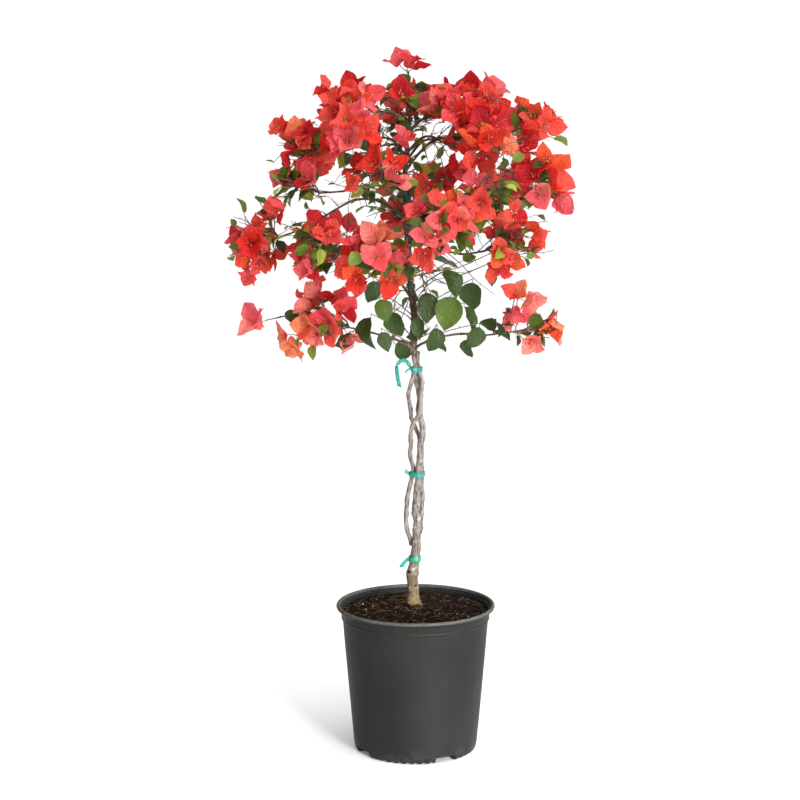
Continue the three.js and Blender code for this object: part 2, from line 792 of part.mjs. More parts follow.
/** A mass of foliage: a stem, twigs that branch from it, and flowers and leaves fused on. */
function massSolid(mass) {
  const stem = massStemSolid(mass);
  // The long sprays come first, each with the largest flower that it has room for.
  for (let k = 0; k < mass.tips.length; k++) {
    for (const size of [...flower.sizes, flower.loneSize]) {
      if (mass.twigs.length <= k) growSpray(mass, k, size);
    }
  }
  for (const size of flower.sizes) {
    for (let k = mass.tips.length; k < sprayDirections; k++) {
      if (mass.twigs.length < mass.sprays) growSpray(mass, k, size);
    }
  }
  mass.twigs.push({ path: mass.stem, solid: stem });
  let leaves = 0;
  for (let k = 0; k < mass.leaves * leafTries && leaves < mass.leaves; k++) {
    if (growLeaf(mass, k)) leaves++;
  }
  const parts = [...mass.twigs.map(({ solid }) => solid), ...mass.blades];
  return largest(wasm.Manifold.union(parts));
}

/** Where a mass with no bough starts: at the trunk's tip, or on its front or back. */
function placeOnTrunk(mass) {
  if (mass.from === "trunk tip") {
    mass.entry = strandCentre("trunk", trunkTop);
    mass.entryAhead = UP.clone();
    return;
  }
  const height = mass.centre.z + mass.half.z * 0.45;
  mass.entryAhead = vector(0, Math.sign(mass.centre.y), 0);
  mass.entry = strandCentre("trunk", height);
  mass.entry.addScaledVector(mass.entryAhead, strandGirth("trunk", height));
}

// ---------------------------------------------------------------- ties
/**
 * The outline of a tape pulled round the strands at a height, `away` from their bark: the
 * farthest reach of any strand in each direction, taken over the tape's width.
 */
function tieOutline(height, names, away) {
  const spots = names.flatMap((name) =>
    [-1, -0.5, 0, 0.5, 1].map((share) => {
      const z = height + share * (tieTape.width / 2 + 1);
      return { centre: strandCentre(name, z), radius: strandGirth(name, z) };
    }),
  );
  const reach = (angle) =>
    Math.max(
      ...spots.map(
        ({ centre, radius }) =>
          centre.x * Math.cos(angle) + centre.y * Math.sin(angle) + radius + away,
      ),
    );
  const step = (2 * Math.PI) / tieTape.sides;
  return Array.from({ length: tieTape.sides }, (_, i) => {
    // Neighbouring tangent lines meet at the outline's corner.
    const [a, b] = [i * step, (i + 1) * step];
    const [p, q] = [reach(a), reach(b)];
    const sine = Math.sin(step);
    return new THREE.Vector2(
      (p * Math.sin(b) - q * Math.sin(a)) / sine,
      (q * Math.cos(a) - p * Math.cos(b)) / sine,
    );
  });
}

/** A flat tail of tape along a path, pinched where it comes out of the knot. */
function tapeTail(points, width, side) {
  const signs = [
    [1, 1],
    [-1, 1],
    [-1, -1],
    [1, -1],
  ];
  const corner = (k, t) => {
    const spread = Math.min(1, 0.25 + 5 * t);
    return [(signs[k][0] * width * spread) / 2, (signs[k][1] * tieTape.thickness) / 2];
  };
  return sweep(points, 4, corner, { side });
}

/** A tie: a closed band of tape with its free ends. */
function tieSolid(index) {
  const height = tieHeights[index];
  const bundled = index > 0 && index < 3;
  const names = bundled ? ["trunk", "stem_left", "stem_right"] : ["trunk"];
  const band = new THREE.Shape(
    tieOutline(height, names, tieTape.slack + tieTape.thickness),
  );
  band.holes.push(new THREE.Path(tieOutline(height, names, tieTape.slack)));
  const tape = new THREE.ExtrudeGeometry(band, { depth: tieTape.width, bevelEnabled: false });
  tape.translate(0, 0, height - tieTape.width / 2);
  let solid = solidOf(tape);
  const middle = tieOutline(height, names, tieTape.slack + tieTape.thickness / 2);
  for (const tail of tieTails[index] ?? []) {
    const leftmost = (best, p) => (p.x < best.x ? p : best);
    const foremost = (best, p) => (p.y < best.y ? p : best);
    const start = middle.reduce(tail.from === "front" ? foremost : leftmost);
    const knot = vector(start.x, start.y, height);
    const points = tail.route.map(([x, y, z]) => knot.clone().add(vector(x, y, z)));
    solid = solid.add(tapeTail(points, tail.width, vector(...tail.side)));
  }
  return largest(solid);
}

/** The way of the long tail: an arch up and over to the left, then hanging down. */
function archedTail() {
  const arch = { middle: [-13.5, 3], reach: 11, height: 13, steps: 5 };
  const points = [[0.2, -0.2, 0]];
  for (let i = 0; i <= arch.steps; i++) {
    const angle = (20 + (i / arch.steps) * 160) * DEG;
    const [x, z] = arch.middle;
    points.push([
      x + arch.reach * Math.cos(angle),
      -2 - i * 0.5,
      z + arch.height * Math.sin(angle),
    ]);
  }
  return [...points, [-23, -5, -12], [-20, -5, -29]];
}

const tieTails = {
  0: [
    {
      width: 7,
      side: [0.4, 0, 1],
      route: [
        [1, -1, 0],
        [-4, -3, -2],
        [-9, -4, -8],
        [-13, -4, -15],
      ],
    },
  ],
  1: [
    {
      width: 6,
      side: [0.1, 0, 1],
      route: [
        [0.8, -0.6, 1],
        [-3, -2, 3],
        [-8, -3, 7],
      ],
    },
  ],
  2: [
    { width: 6.5, side: [0.3, 0, 1], route: archedTail() },
    {
      width: 3,
      side: [0, 0, 1],
      route: [
        [0.8, -0.5, 0],
        [-4, -4, 1],
        [-10, -6, -5],
      ],
    },
  ],
  4: [
    {
      from: "front",
      width: 6,
      side: [1, 0.1, 0],
      route: [
        [-1, 0.1, 0],
        [0, -1.6, -5],
        [4, -2.6, -14],
        [8, -2.8, -26],
      ],
    },
  ],
};

// ---------------------------------------------------------------- the plant
const plant = new THREE.Group();
plant.add(meshOf("pot", potShell(), "pot"));
plant.add(meshOf("soil", rootBall(), "soil"));
plant.add(meshOf("trunk", trunk, "bark"));
for (const name of Object.keys(sideStem)) {
  plant.add(meshOf(name, sideStemSolid(name), "bark"));
}
for (const mass of masses) {
  if (typeof mass.from === "number" || mass.from in sideStem) {
    plant.add(meshOf("bough_" + mass.name, boughSolid(mass), "bark"));
  } else {
    placeOnTrunk(mass);
  }
  mass.stem = massStem(mass);
  limbRooms.set(mass.name, massStemSolid(mass, CLEAR));
}
for (const mass of masses) {
  plant.add(meshOf("foliage_" + mass.name, massSolid(mass), mass.blooms ? "blossom" : "foliage"));
}
tieHeights.forEach((_, index) => {
  plant.add(meshOf("tie_" + (index + 1), tieSolid(index), "tape"));
});

export default plant;
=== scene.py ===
# %% [markdown]
# # A bougainvillea grown as a small tree
#
# The object is a flowering bougainvillea in a round nursery pot. Three stems are twisted round
# each other and held by ties of teal tape, and they carry a loose dome of papery bracts.
#
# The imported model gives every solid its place, so the lesson starts by loading it. Each part
# then gets a finer mesh in the same place, and a finish made of shader nodes. Lengths are in
# millimetres, as on a drawing, and they become metres only when a mesh is made.

import json
import math

import bpy
import numpy as np
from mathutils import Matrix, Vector

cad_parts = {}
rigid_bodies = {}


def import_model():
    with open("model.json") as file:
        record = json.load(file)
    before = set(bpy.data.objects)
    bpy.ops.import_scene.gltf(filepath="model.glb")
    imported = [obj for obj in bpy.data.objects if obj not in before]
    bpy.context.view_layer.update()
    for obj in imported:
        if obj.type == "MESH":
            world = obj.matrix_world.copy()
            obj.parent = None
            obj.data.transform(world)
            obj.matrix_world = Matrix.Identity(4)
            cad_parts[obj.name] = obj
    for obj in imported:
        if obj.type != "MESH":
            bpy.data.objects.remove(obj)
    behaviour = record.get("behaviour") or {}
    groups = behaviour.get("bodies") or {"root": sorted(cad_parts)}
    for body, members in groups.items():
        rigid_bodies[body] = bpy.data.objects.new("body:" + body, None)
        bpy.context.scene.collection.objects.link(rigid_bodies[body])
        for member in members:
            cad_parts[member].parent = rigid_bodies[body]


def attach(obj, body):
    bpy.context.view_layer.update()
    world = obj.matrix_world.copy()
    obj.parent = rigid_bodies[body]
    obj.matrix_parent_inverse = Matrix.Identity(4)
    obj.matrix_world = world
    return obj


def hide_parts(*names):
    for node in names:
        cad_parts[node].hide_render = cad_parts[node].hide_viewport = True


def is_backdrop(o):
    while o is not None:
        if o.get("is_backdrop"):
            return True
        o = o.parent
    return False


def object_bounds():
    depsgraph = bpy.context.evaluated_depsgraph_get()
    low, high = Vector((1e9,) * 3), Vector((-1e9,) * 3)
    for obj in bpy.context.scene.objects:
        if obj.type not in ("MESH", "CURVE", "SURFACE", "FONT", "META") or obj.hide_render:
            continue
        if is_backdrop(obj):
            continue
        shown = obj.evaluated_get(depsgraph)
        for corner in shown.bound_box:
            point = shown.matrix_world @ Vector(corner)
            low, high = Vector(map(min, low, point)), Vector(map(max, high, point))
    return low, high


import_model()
cad_low, cad_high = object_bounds()
print("the frame reaches", [round(v, 3) for v in (*cad_low, *cad_high)])
MM = 0.001

# %% [markdown]
# ## Camera, sky and light
#
# A plant in a catalogue stands on a white floor that runs into a white wall. One large plane does
# the same: it is lit so brightly that its far edge can't be told from the sky. A long lens from
# four metres keeps the pot's rim a flat ellipse.
#
# One picture of a studio wrapped round the scene could light it all, but then every piece would
# get the same light. Separate lights can be linked to single pieces. The key light is a soft panel
# high on the right, so the left of the pot falls into shade. A narrow one picks out the foot of
# the pot, one overhead lights the soil, and the fill on the left brightens the crown. A sun as
# wide as a window gives the one soft shadow on the floor.

# %% Camera
scene = bpy.context.scene
camera = bpy.data.objects.new("camera", bpy.data.cameras.new("camera"))
camera.location = (-0.0269, -3.943, 1.299)
camera.rotation_euler = (math.radians(90 - 9.83), 0, 0)
camera.data.sensor_width = 36
camera.data.lens = 105.3
scene.collection.objects.link(camera)
scene.camera = camera
print("camera at", tuple(camera.location), "with a", camera.data.lens, "mm lens")


# %% Lights
def soft_panel(name, place, target, size, watts, beam=180):
    """A square area light at `place`, with its -Z axis along the line to `target`."""
    light = bpy.data.lights.new(name, "AREA")
    light.size, light.energy, light.spread = size, watts, math.radians(beam)
    panel = bpy.data.objects.new(name, light)
    panel.location = place
    panel.visible_camera = False
    way = Vector(target) - panel.location
    panel.rotation_euler = way.to_track_quat("-Z", "Y").to_euler()
    scene.collection.objects.link(panel)
    return panel


key = soft_panel("key", (1.7, -2.3, 2.9), (0, 0, 0.95), 1.0, 66)
fill = soft_panel("fill", (-1.7, -2.7, 1.9), (0, 0, 1.0), 1.6, 15)
soft_panel("side", (1.5, -2.8, 0.5), (0, 0, 0.08), 1.0, 10, beam=30)
soft_panel("overhead", (0.3, -0.2, 3.4), (0, 0, 0), 2.4, 16)

window = bpy.data.lights.new("window", "SUN")
window.energy, window.angle = 1.5, math.radians(80)
sun = bpy.data.objects.new("window", window)
sun.rotation_euler = (math.radians(30), 0, math.radians(40))
scene.collection.objects.link(sun)
print("four soft panels and a window")


# %% Sky
def add_node(tree, kind, links=(), **settings):
    """A node of a kind, with its settings, and with sockets linked or set from `links`."""
    node = tree.nodes.new("ShaderNode" + kind)
    for label, value in settings.items():
        setattr(node, label, value)
    for label, value in dict(links).items():
        if isinstance(value, bpy.types.NodeSocket):
            tree.links.new(value, node.inputs[label])
        else:
            node.inputs[label].default_value = value
    return node


# The sky lights the plant more from the right than from the left, and looks plain white.
WHITE = (1, 1, 1, 1)
SKY_LEFT, SKY_RIGHT = 0.26, 0.86
sky = bpy.data.worlds.new("studio")
sky.use_nodes = True
tree = sky.node_tree
direction = add_node(tree, "TexCoord").outputs["Generated"]
from_left = add_node(tree, "SeparateXYZ", {"Vector": direction}).outputs["X"]
spans = {"From Min": -1, "From Max": 1, "To Min": SKY_LEFT, "To Max": SKY_RIGHT}
strength = add_node(tree, "MapRange", {"Value": from_left, **spans}).outputs["Result"]
around = tree.nodes["Background"]
around.inputs["Color"].default_value = WHITE
tree.links.new(strength, around.inputs["Strength"])
seen = add_node(tree, "Background", {"Color": WHITE})
by_camera = add_node(tree, "LightPath").outputs["Is Camera Ray"]
shaders = {0: by_camera, 1: around.outputs[0], 2: seen.outputs[0]}
choice = add_node(tree, "MixShader", shaders).outputs[0]
tree.links.new(choice, tree.nodes["World Output"].inputs["Surface"])
scene.world = sky
scene.view_settings.view_transform = "Standard"
print("a white sky,", SKY_LEFT, "strong on the left and", SKY_RIGHT, "on the right")

# %% [markdown]
# ## How a mesh is made here
#
# Every new piece is a surface worked out with numpy. A shape is a triple: its points, its faces
# and a flat (u, v) place for each point. A face is four point numbers, with -1 in the last place
# when it has only three corners. Whole arrays are computed at once, so a thousand leaves cost
# about as much as one, and `make_piece` joins any list of shapes into one object.


# %% Join shapes into a piece
def make_piece(name, shapes, finish, slot=None, stands_for=(), smooth=True):
    """One object from shapes: points end to end, and face numbers raised to match."""
    counts = [len(points) for points, _, _ in shapes]
    starts = np.concatenate([[0], np.cumsum(counts)[:-1]]).astype(int)
    points = np.concatenate([shape[0] for shape in shapes]) * MM
    places = np.concatenate([shape[2] for shape in shapes])
    faces = np.concatenate(
        [np.where(shape[1] >= 0, shape[1] + start, -1) for shape, start in zip(shapes, starts)]
    )
    corners = faces[faces >= 0]
    sizes = (faces >= 0).sum(1)
    mesh = bpy.data.meshes.new(name)
    mesh.vertices.add(len(points))
    mesh.vertices.foreach_set("co", points.ravel())
    mesh.loops.add(len(corners))
    mesh.loops.foreach_set("vertex_index", corners.astype(np.int32))
    mesh.polygons.add(len(faces))
    first = np.concatenate([[0], np.cumsum(sizes)[:-1]])
    mesh.polygons.foreach_set("loop_start", first.astype(np.int32))
    mesh.polygons.foreach_set("use_smooth", np.full(len(faces), smooth))
    mesh.update(calc_edges=True)
    mesh.uv_layers.new(name="UVMap").data.foreach_set("uv", places[corners].ravel())
    mesh.validate()
    mesh.materials.append(finish)
    piece = bpy.data.objects.new(name, mesh)
    scene.collection.objects.link(piece)
    if slot:
        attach(piece, "root")
    if stands_for:
        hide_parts(*stands_for)
    triangles = int((sizes - 2).sum())
    print(f"{name}: {triangles} triangles")
    return piece


def grid_faces(rows, columns, around=False):
    """Four-cornered faces between neighbours of a grid: (i, j), (i, j+1), (i+1, j+1), (i+1, j)."""
    row = np.arange(rows - 1)[:, None] * columns
    column = np.arange(columns if around else columns - 1)[None, :]
    a, b = row + column, row + (column + 1) % columns
    return np.stack([a, b, b + columns, a + columns], -1).reshape(-1, 4)


def cap_faces(ring, pole, ends):
    """A fan of triangles from a pole to a ring, turned to face out at a start or an end."""
    after = np.roll(ring, -1)
    pair = (ring, after) if ends else (after, ring)
    fan = np.full(len(ring), pole)
    return np.stack([fan, *pair, np.full(len(ring), -1)], -1)


def closed_rings(rings):
    """Rows of rings skinned into a closed surface, with a pole in the middle of each end ring."""
    rows, columns, _ = rings.shape
    points = np.concatenate([rings.reshape(-1, 3), rings[:1].mean(1), rings[-1:].mean(1)])
    ring = np.arange(columns)
    count = rows * columns
    faces = np.concatenate(
        [
            grid_faces(rows, columns, around=True),
            cap_faces(ring, count, ends=False),
            cap_faces(ring + count - columns, count + 1, ends=True),
        ]
    )
    across, down = np.meshgrid(ring / columns, np.arange(rows) / (rows - 1))
    places = np.stack([across, down], -1).reshape(-1, 2)
    return points, faces, np.concatenate([places, [[0.5, 0], [0.5, 1]]])


print("mesh tools are ready")

# %% [markdown]
# Twigs, stalks and fibres are all thin tubes. A tube is a circle carried along a path. Its two
# side directions come from one fixed direction with the path's own direction taken out of it,
# which turns smoothly as long as the path isn't parallel to it. All paths with the same number of
# stations are worked out together.


# %% Paths and tubes
def unit(vectors):
    """Vectors divided by their lengths."""
    vectors = np.asarray(vectors, float)
    return vectors / np.maximum(np.linalg.norm(vectors, axis=-1, keepdims=True), 1e-9)


def path_frames(paths):
    """For paths x stations: the way ahead, and two directions square to it and to each other."""
    ahead = unit(np.gradient(paths, axis=1))
    mean = np.abs(ahead.mean(1))
    fixed = np.eye(3)[mean.argmin(1)][:, None]
    across = unit(fixed - (fixed * ahead).sum(-1, keepdims=True) * ahead)
    return ahead, across, np.cross(ahead, across)


def tubes(paths, radii, sides):
    """Closed tubes: path point + radius x (cosine x across + sine x above) at each angle."""
    paths = np.asarray(paths, float)
    count, stations, _ = paths.shape
    radii = np.broadcast_to(radii, (count, stations))[..., None, None]
    _, across, above = path_frames(paths)
    angle = np.arange(sides) / sides * 2 * np.pi
    circle = (
        np.cos(angle)[:, None] * across[:, :, None] + np.sin(angle)[:, None] * above[:, :, None]
    )
    rings = paths[:, :, None] + radii * circle
    points, faces, places = closed_rings(rings[0])
    if count == 1:
        return points, faces, places
    poles = np.concatenate([paths[:, :1], paths[:, -1:]], 1)
    points = np.concatenate([rings.reshape(count, -1, 3), poles], 1)
    return repeated(points, faces, places)


def repeated(points, faces, places):
    """One set of faces for many point sets: each set adds its number x the points per set."""
    count, size, _ = points.shape
    offset = (np.arange(count) * size)[:, None, None]
    faces = np.where(faces >= 0, faces[None] + offset, -1).reshape(-1, 4)
    return points.reshape(-1, 3), faces, np.tile(places, (count, 1))


def smooth_path(points, stations):
    """A Catmull-Rom curve: a cubic between each two points, its slopes from their neighbours."""
    points = np.asarray(points, float)
    at = np.linspace(0, len(points) - 1, stations)
    i = np.minimum(at.astype(int), len(points) - 2)
    t = (at - i)[:, None]
    p = [points[np.clip(i + k, 0, len(points) - 1)] for k in (-1, 0, 1, 2)]
    return 0.5 * (
        2 * p[1]
        + (p[2] - p[0]) * t
        + (2 * p[0] - 5 * p[1] + 4 * p[2] - p[3]) * t**2
        + (3 * p[1] - p[0] - 3 * p[2] + p[3]) * t**3
    )


def smoothstep(low, high, value):
    """0 below `low`, 1 above `high`, and 3s^2 - 2s^3 of the share s between them."""
    share = np.clip((np.asarray(value, float) - low) / (high - low), 0, 1)
    return share * share * (3 - 2 * share)


def lumps(points, size, seed, waves=14):
    """Smooth unevenness, about -1 to 1: a mean of sines `size` mm long in random directions."""
    rng = np.random.default_rng(seed)
    ways = unit(rng.normal(size=(waves, 3))) * rng.uniform(0.6, 1.5, (waves, 1))
    phases = rng.uniform(0, 2 * np.pi, waves)
    return np.sin(points @ ways.T * (2 * np.pi / size) + phases).sum(-1) / math.sqrt(waves) * 0.8


print("path tools are ready")

# %% [markdown]
# ## Finishes
#
# Plastic, soil, bark and petals all vary from place to place in the same two ways: soft patches,
# and long streaks. Each of these is a node group that puts out a mask, so that every material
# can use it with its own size and strength. The groups read Object coordinates, which are metres
# on the object, so a pattern keeps its real size. The shader itself stays in the material.


# %% Shader group tools
def shader_group(name, inputs, outputs):
    """An empty node group with number sockets; `inputs` maps each name to its usual value."""
    group = bpy.data.node_groups.new(name, "ShaderNodeTree")
    for label, value in inputs.items():
        group.interface.new_socket(
            name=label, in_out="INPUT", socket_type="NodeSocketFloat"
        ).default_value = value
    for label in outputs:
        group.interface.new_socket(name=label, in_out="OUTPUT", socket_type="NodeSocketFloat")
    return group, group.nodes.new("NodeGroupInput"), group.nodes.new("NodeGroupOutput")


print("group tools are ready")


# %% Shader groups: patches, streaks and veins
def maths(tree, operation, a, b=0.0):
    """The output of a Math node for two sockets or numbers."""
    return add_node(tree, "Math", {0: a, 1: b}, operation=operation).outputs[0]


def object_place(tree):
    """The place on the object, in metres, as a vector socket."""
    return add_node(tree, "TexCoord").outputs["Object"]


def noise_group(name, extra, place_of):
    """Noise at a place, out as Height, and stretched between the levels From and To as Mask."""
    inputs = {**extra, "From": 0.4, "To": 0.6}
    group, given, out = shader_group(name, inputs, ["Mask", "Height"])
    place, detail = place_of(group, given)
    links = {"Vector": place, "Scale": given.outputs["Scale"], "Detail": detail}
    noise = add_node(group, "TexNoise", links).outputs["Fac"]
    levels = {"Value": noise, "From Min": given.outputs["From"], "From Max": given.outputs["To"]}
    mask = add_node(group, "MapRange", levels).outputs["Result"]
    group.links.new(mask, out.inputs["Mask"])
    group.links.new(noise, out.inputs["Height"])
    return group


def patches_place(group, given):
    """Patches: the noise is read where it lies, with as much detail as the material asks for."""
    return object_place(group), given.outputs["Detail"]


STREAK_DETAIL = 5


def streaks_place(group, given):
    """Streaks: the height is divided by `Stretch` first, so each blot of noise runs upwards."""
    split = add_node(group, "SeparateXYZ", {"Vector": object_place(group)}).outputs
    flat = maths(group, "DIVIDE", split["Z"], given.outputs["Stretch"])
    place = add_node(group, "CombineXYZ", {"X": split["X"], "Y": split["Y"], "Z": flat})
    return place.outputs[0], STREAK_DETAIL


def veins_group():
    """Veins of a petal or leaf laid out on its own (u, v): side veins at a slant to a midrib.

    With w the distance from the midrib, a side vein runs where `Number` x u - `Slant` x w is a
    whole number. The height is the root of the distance to the nearest one, cut off beside the
    midrib, so that the midrib is a groove too.
    """
    group, given, out = shader_group("veins", {"Number": 8, "Slant": 5}, ["Height"])
    split = add_node(group, "SeparateXYZ", {"Vector": add_node(group, "TexCoord").outputs["UV"]})
    width = maths(group, "ABSOLUTE", maths(group, "SUBTRACT", split.outputs["X"], 0.5))
    along = maths(group, "MULTIPLY", split.outputs["Y"], given.outputs["Number"])
    across = maths(group, "MULTIPLY", width, given.outputs["Slant"])
    side = maths(group, "PINGPONG", maths(group, "SUBTRACT", along, across), 0.5)
    rib = maths(group, "MINIMUM", maths(group, "MULTIPLY", width, 12.0), 0.5)
    height = maths(group, "MINIMUM", maths(group, "POWER", side, 0.5), rib)
    group.links.new(height, out.inputs["Height"])
    return group


PATCHES = noise_group("patches", {"Scale": 40, "Detail": 4}, patches_place)
STREAKS = noise_group("streaks", {"Scale": 300, "Stretch": 6}, streaks_place)
VEINS = veins_group()
print("groups:", [group.name for group in bpy.data.node_groups])


# %% Paint and material helpers
def paint(red, green, blue, lift=1.0):
    """A screen colour from 0 to 255 as the linear colour that a shader wants, times `lift`."""
    screen = np.array([red, green, blue]) / 255
    linear = np.where(screen <= 0.04045, screen / 12.92, ((screen + 0.055) / 1.055) ** 2.4)
    return (*np.clip(linear * lift, 0, 1), 1.0)


def new_material(name, **values):
    """A material with a Principled shader whose plain sockets are set straight from `values`."""
    material = bpy.data.materials.new(name)
    material.use_nodes = True
    shader = material.node_tree.nodes["Principled BSDF"]
    for label, value in values.items():
        shader.inputs[label.replace("_", " ")].default_value = value
    return material, material.node_tree, shader


def mask_of(tree, group, output="Mask", **values):
    """A mask from one of the shader groups, with this material's own values."""
    return add_node(tree, "Group", values, node_tree=group).outputs[output]


def height_of(tree, group, **values):
    """The height that one of the shader groups puts out, for a bump."""
    return mask_of(tree, group, "Height", **values)


def blend_colours(tree, mask, first, second):
    """`first` where the mask is 0 and `second` where it is 1."""
    node = tree.nodes.new("ShaderNodeMix")
    node.data_type = "RGBA"
    tree.links.new(mask, node.inputs["Factor"])
    for socket, colour in ((node.inputs["A"], first), (node.inputs["B"], second)):
        if isinstance(colour, bpy.types.NodeSocket):
            tree.links.new(colour, socket)
        else:
            socket.default_value = colour
    return node.outputs["Result"]


def roughen(tree, shader, height, strength, depth, below=None):
    """A bump from a height mask; `below` is another bump's normal that this one lies on."""
    links = {"Height": height, "Strength": strength, "Distance": depth}
    if below is not None:
        links["Normal"] = below
    normal = add_node(tree, "Bump", links).outputs["Normal"]
    tree.links.new(normal, shader.inputs["Normal"])
    return normal


def height_share(tree, low, high):
    """0 below one height on the object and 1 above another, in metres."""
    z = add_node(tree, "SeparateXYZ", {"Vector": object_place(tree)}).outputs["Z"]
    spans = {"Value": z, "From Min": low, "From Max": high}
    return add_node(tree, "MapRange", spans).outputs["Result"]


def two_tone(name, dark, light, patch, relief=(), **values):
    """A finish whose colour goes from dark to light in patches, with a bump from one group.

    `patch` is the size, detail and two levels of the patches. `relief` is the group that gives
    the bump, its values, the bump's strength and its depth in metres.
    """
    material, tree, shader = new_material(name, **values)
    tone = mask_of(tree, PATCHES, **dict(zip(("Scale", "Detail", "From", "To"), patch)))
    tree.links.new(blend_colours(tree, tone, dark, light), shader.inputs["Base Color"])
    if relief:
        group, own, strength, depth = relief
        roughen(tree, shader, height_of(tree, group, **own), strength, depth)
    return material


print("material helpers are ready")

# %% [markdown]
# ## The floor
#
# The floor is not part of the object, so it is marked as stage. A grey floor under strong light
# would take a dark edge where the light ends. This one is nearly white and gives off a trace of
# light itself, so that it is as white as the sky all round one soft shadow. It is rough, and
# shows no mirror image of the pot.

# %% Floor
FLOOR_REACH = 2_000_000
FLOOR_ROWS = 9
floor_paper = two_tone(
    "floor_paper", (0.99, 0.99, 0.988, 1), (0.998, 0.998, 0.998, 1), (3.0, 4, 0.4, 0.6),
    Roughness=0.8, Emission_Color=WHITE, Emission_Strength=0.1,
)
side = np.linspace(-FLOOR_REACH, FLOOR_REACH, FLOOR_ROWS)
level = np.zeros((FLOOR_ROWS, FLOOR_ROWS))
floor_points = np.stack([*np.meshgrid(side, side), level], -1).reshape(-1, 3)
floor_places = np.zeros((len(floor_points), 2))
floor = make_piece(
    "floor", [(floor_points, grid_faces(FLOOR_ROWS, FLOOR_ROWS), floor_places)], floor_paper
)
floor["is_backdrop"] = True

# %% [markdown]
# ## The pot
#
# A nursery pot is blown or drawn from thin plastic: a tapering wall, a stepped collar for
# stacking, a rolled lip, and a foot with drain notches and a row of small nicks between its ribs.
# A lathe modifier could turn a profile, but the foot isn't the same all round. Here the profile
# is an array that may differ from turn to turn: three profiles of the foot are blended by how
# near each turn is to a notch or a nick. The columns are close enough for crisp notch walls.

# %% Pot profile
drain_turns = np.radians(30 + np.arange(4) * 90)
nick_count = 46
nick_turns = (np.arange(nick_count) + 0.5) / nick_count * 2 * np.pi
pot_columns = 720
FOOT_RADIUS = 105
turn = np.arange(pot_columns) / pot_columns * 2 * np.pi

# The foot from the recess inwards to the wall: plain, in a drain notch, and in a nick.
plain_foot = [(88, 5.4), (91, 0.6), (97, 0), (101, 0.2), (104, 1.8), (105.8, 4.8), (106.7, 8.4)]
notched_foot = [(88, 6.6), (91, 9.2), (96, 9.6), (100, 9.8), (103.4, 10), (105.6, 10.2)]
notched_foot += [(106.7, 10.8)]
nicked_foot = [(88, 5.4), (91, 0.6), (97, 1.6), (101, 3), (104, 4.8), (105.8, 7.2), (106.8, 9.8)]
wall_up = [(107.4, 13), (107.9, 18), (111.9, 62), (117.5, 125), (123.2, 190), (126.3, 229)]
collar_up = [(126.6, 231), (126.8, 231.8), (128.1, 232.6), (128.6, 233.6), (128.7, 235.2)]
collar_up += [(128.2, 236.2), (128.2, 237), (128.6, 237.8), (128.8, 247.6), (129.6, 249.4)]
lip_arc = [
    (134.3 + 3.2 * math.cos(a), 254.4 + 3.6 * math.sin(a))
    for a in np.radians(np.linspace(-125, 185, 16))
]
inside_down = [(130.8, 252.2), (129.4, 250.8), (127.4, 249.8), (126.6, 248), (126.4, 238)]
inside_down += [(125.6, 236), (124.6, 234.2), (124, 231), (115.4, 125), (105.4, 18), (102, 8.8)]
inside_down += [(99, 8.2), (60, 8)]


def near_turn(centres, half_width, soft):
    """1 within `half_width` mm of a centre at the foot's rim, and 0 beyond `soft` mm more."""
    apart = np.abs((turn[:, None] - centres + np.pi) % (2 * np.pi) - np.pi).min(1) * FOOT_RADIUS
    return 1 - smoothstep(half_width, half_width + soft, apart)


notch = near_turn(drain_turns, 19, 1.8)
nick = near_turn(nick_turns, 1.7, 2.2) * (1 - notch)
foot = np.array([plain_foot, nicked_foot, notched_foot], float)
foot_rows = (
    foot[0][:, None]
    + nick[None, :, None] * (foot[1] - foot[0])[:, None]
    + notch[None, :, None] * (foot[2] - foot[0])[:, None]
)
rest = np.array([(40, 5.4)] + wall_up + collar_up + lip_arc + inside_down, float)
rest_rows = np.repeat(rest[:, None], pot_columns, 1)
profile = np.concatenate([rest_rows[:1], foot_rows, rest_rows[1:]])
print("pot profile:", profile.shape[0], "rows of", profile.shape[1])


# %% Turn the pot
def turned(profile):
    """A closed surface of revolution: (radius x cosine, radius x sine, height) of each turn."""
    columns = profile.shape[1]
    angle = np.arange(columns) / columns * 2 * np.pi
    rings = np.stack(
        [profile[..., 0] * np.cos(angle), profile[..., 0] * np.sin(angle), profile[..., 1]], -1
    )
    return closed_rings(rings)


# A thin wall is never quite round: it wanders by a third of a millimetre above its foot.
pot_points, pot_faces, pot_places = turned(profile)
wobble = lumps(pot_points * (1, 1, 0.4), 150, 5)[:, None] * 0.35
outward = unit(pot_points * (1, 1, 0)) * smoothstep(12, 60, pot_points[:, 2:])
under_lip = smoothstep(252, 246, pot_points[:, 2:])
pot_points = pot_points + outward * wobble * under_lip

# %% [markdown]
# Black plastic is a cloudy dark grey, paler on top of its lip and dusty at its foot. Its gloss
# runs in faint streaks up the wall, and two bumps lie on each other: a fine grain, and the
# streaks.

# %% Pot plastic
plastic, tree, shader = new_material("pot_plastic", Roughness=0.5, Specular_IOR_Level=0.09)
cloud = mask_of(tree, PATCHES, Scale=9.0, Detail=5.0, From=0.35, To=0.7)
base = blend_colours(tree, cloud, paint(27, 27, 27), paint(33, 33, 32))
# The top of the lip is paler, in patches.
lip_patches = mask_of(tree, PATCHES, Scale=260.0, Detail=5.0, From=0.3, To=0.7)
lip = blend_colours(tree, lip_patches, paint(54, 53, 50), paint(86, 84, 78))
base = blend_colours(tree, height_share(tree, 0.2525, 0.2550), base, lip)
dust = mask_of(tree, PATCHES, Scale=60.0, Detail=6.0, From=0.45, To=0.75)
dusty = maths(tree, "MULTIPLY", height_share(tree, 0.03, 0.0), dust)
base = blend_colours(tree, dusty, base, paint(58, 56, 53))
tree.links.new(base, shader.inputs["Base Color"])

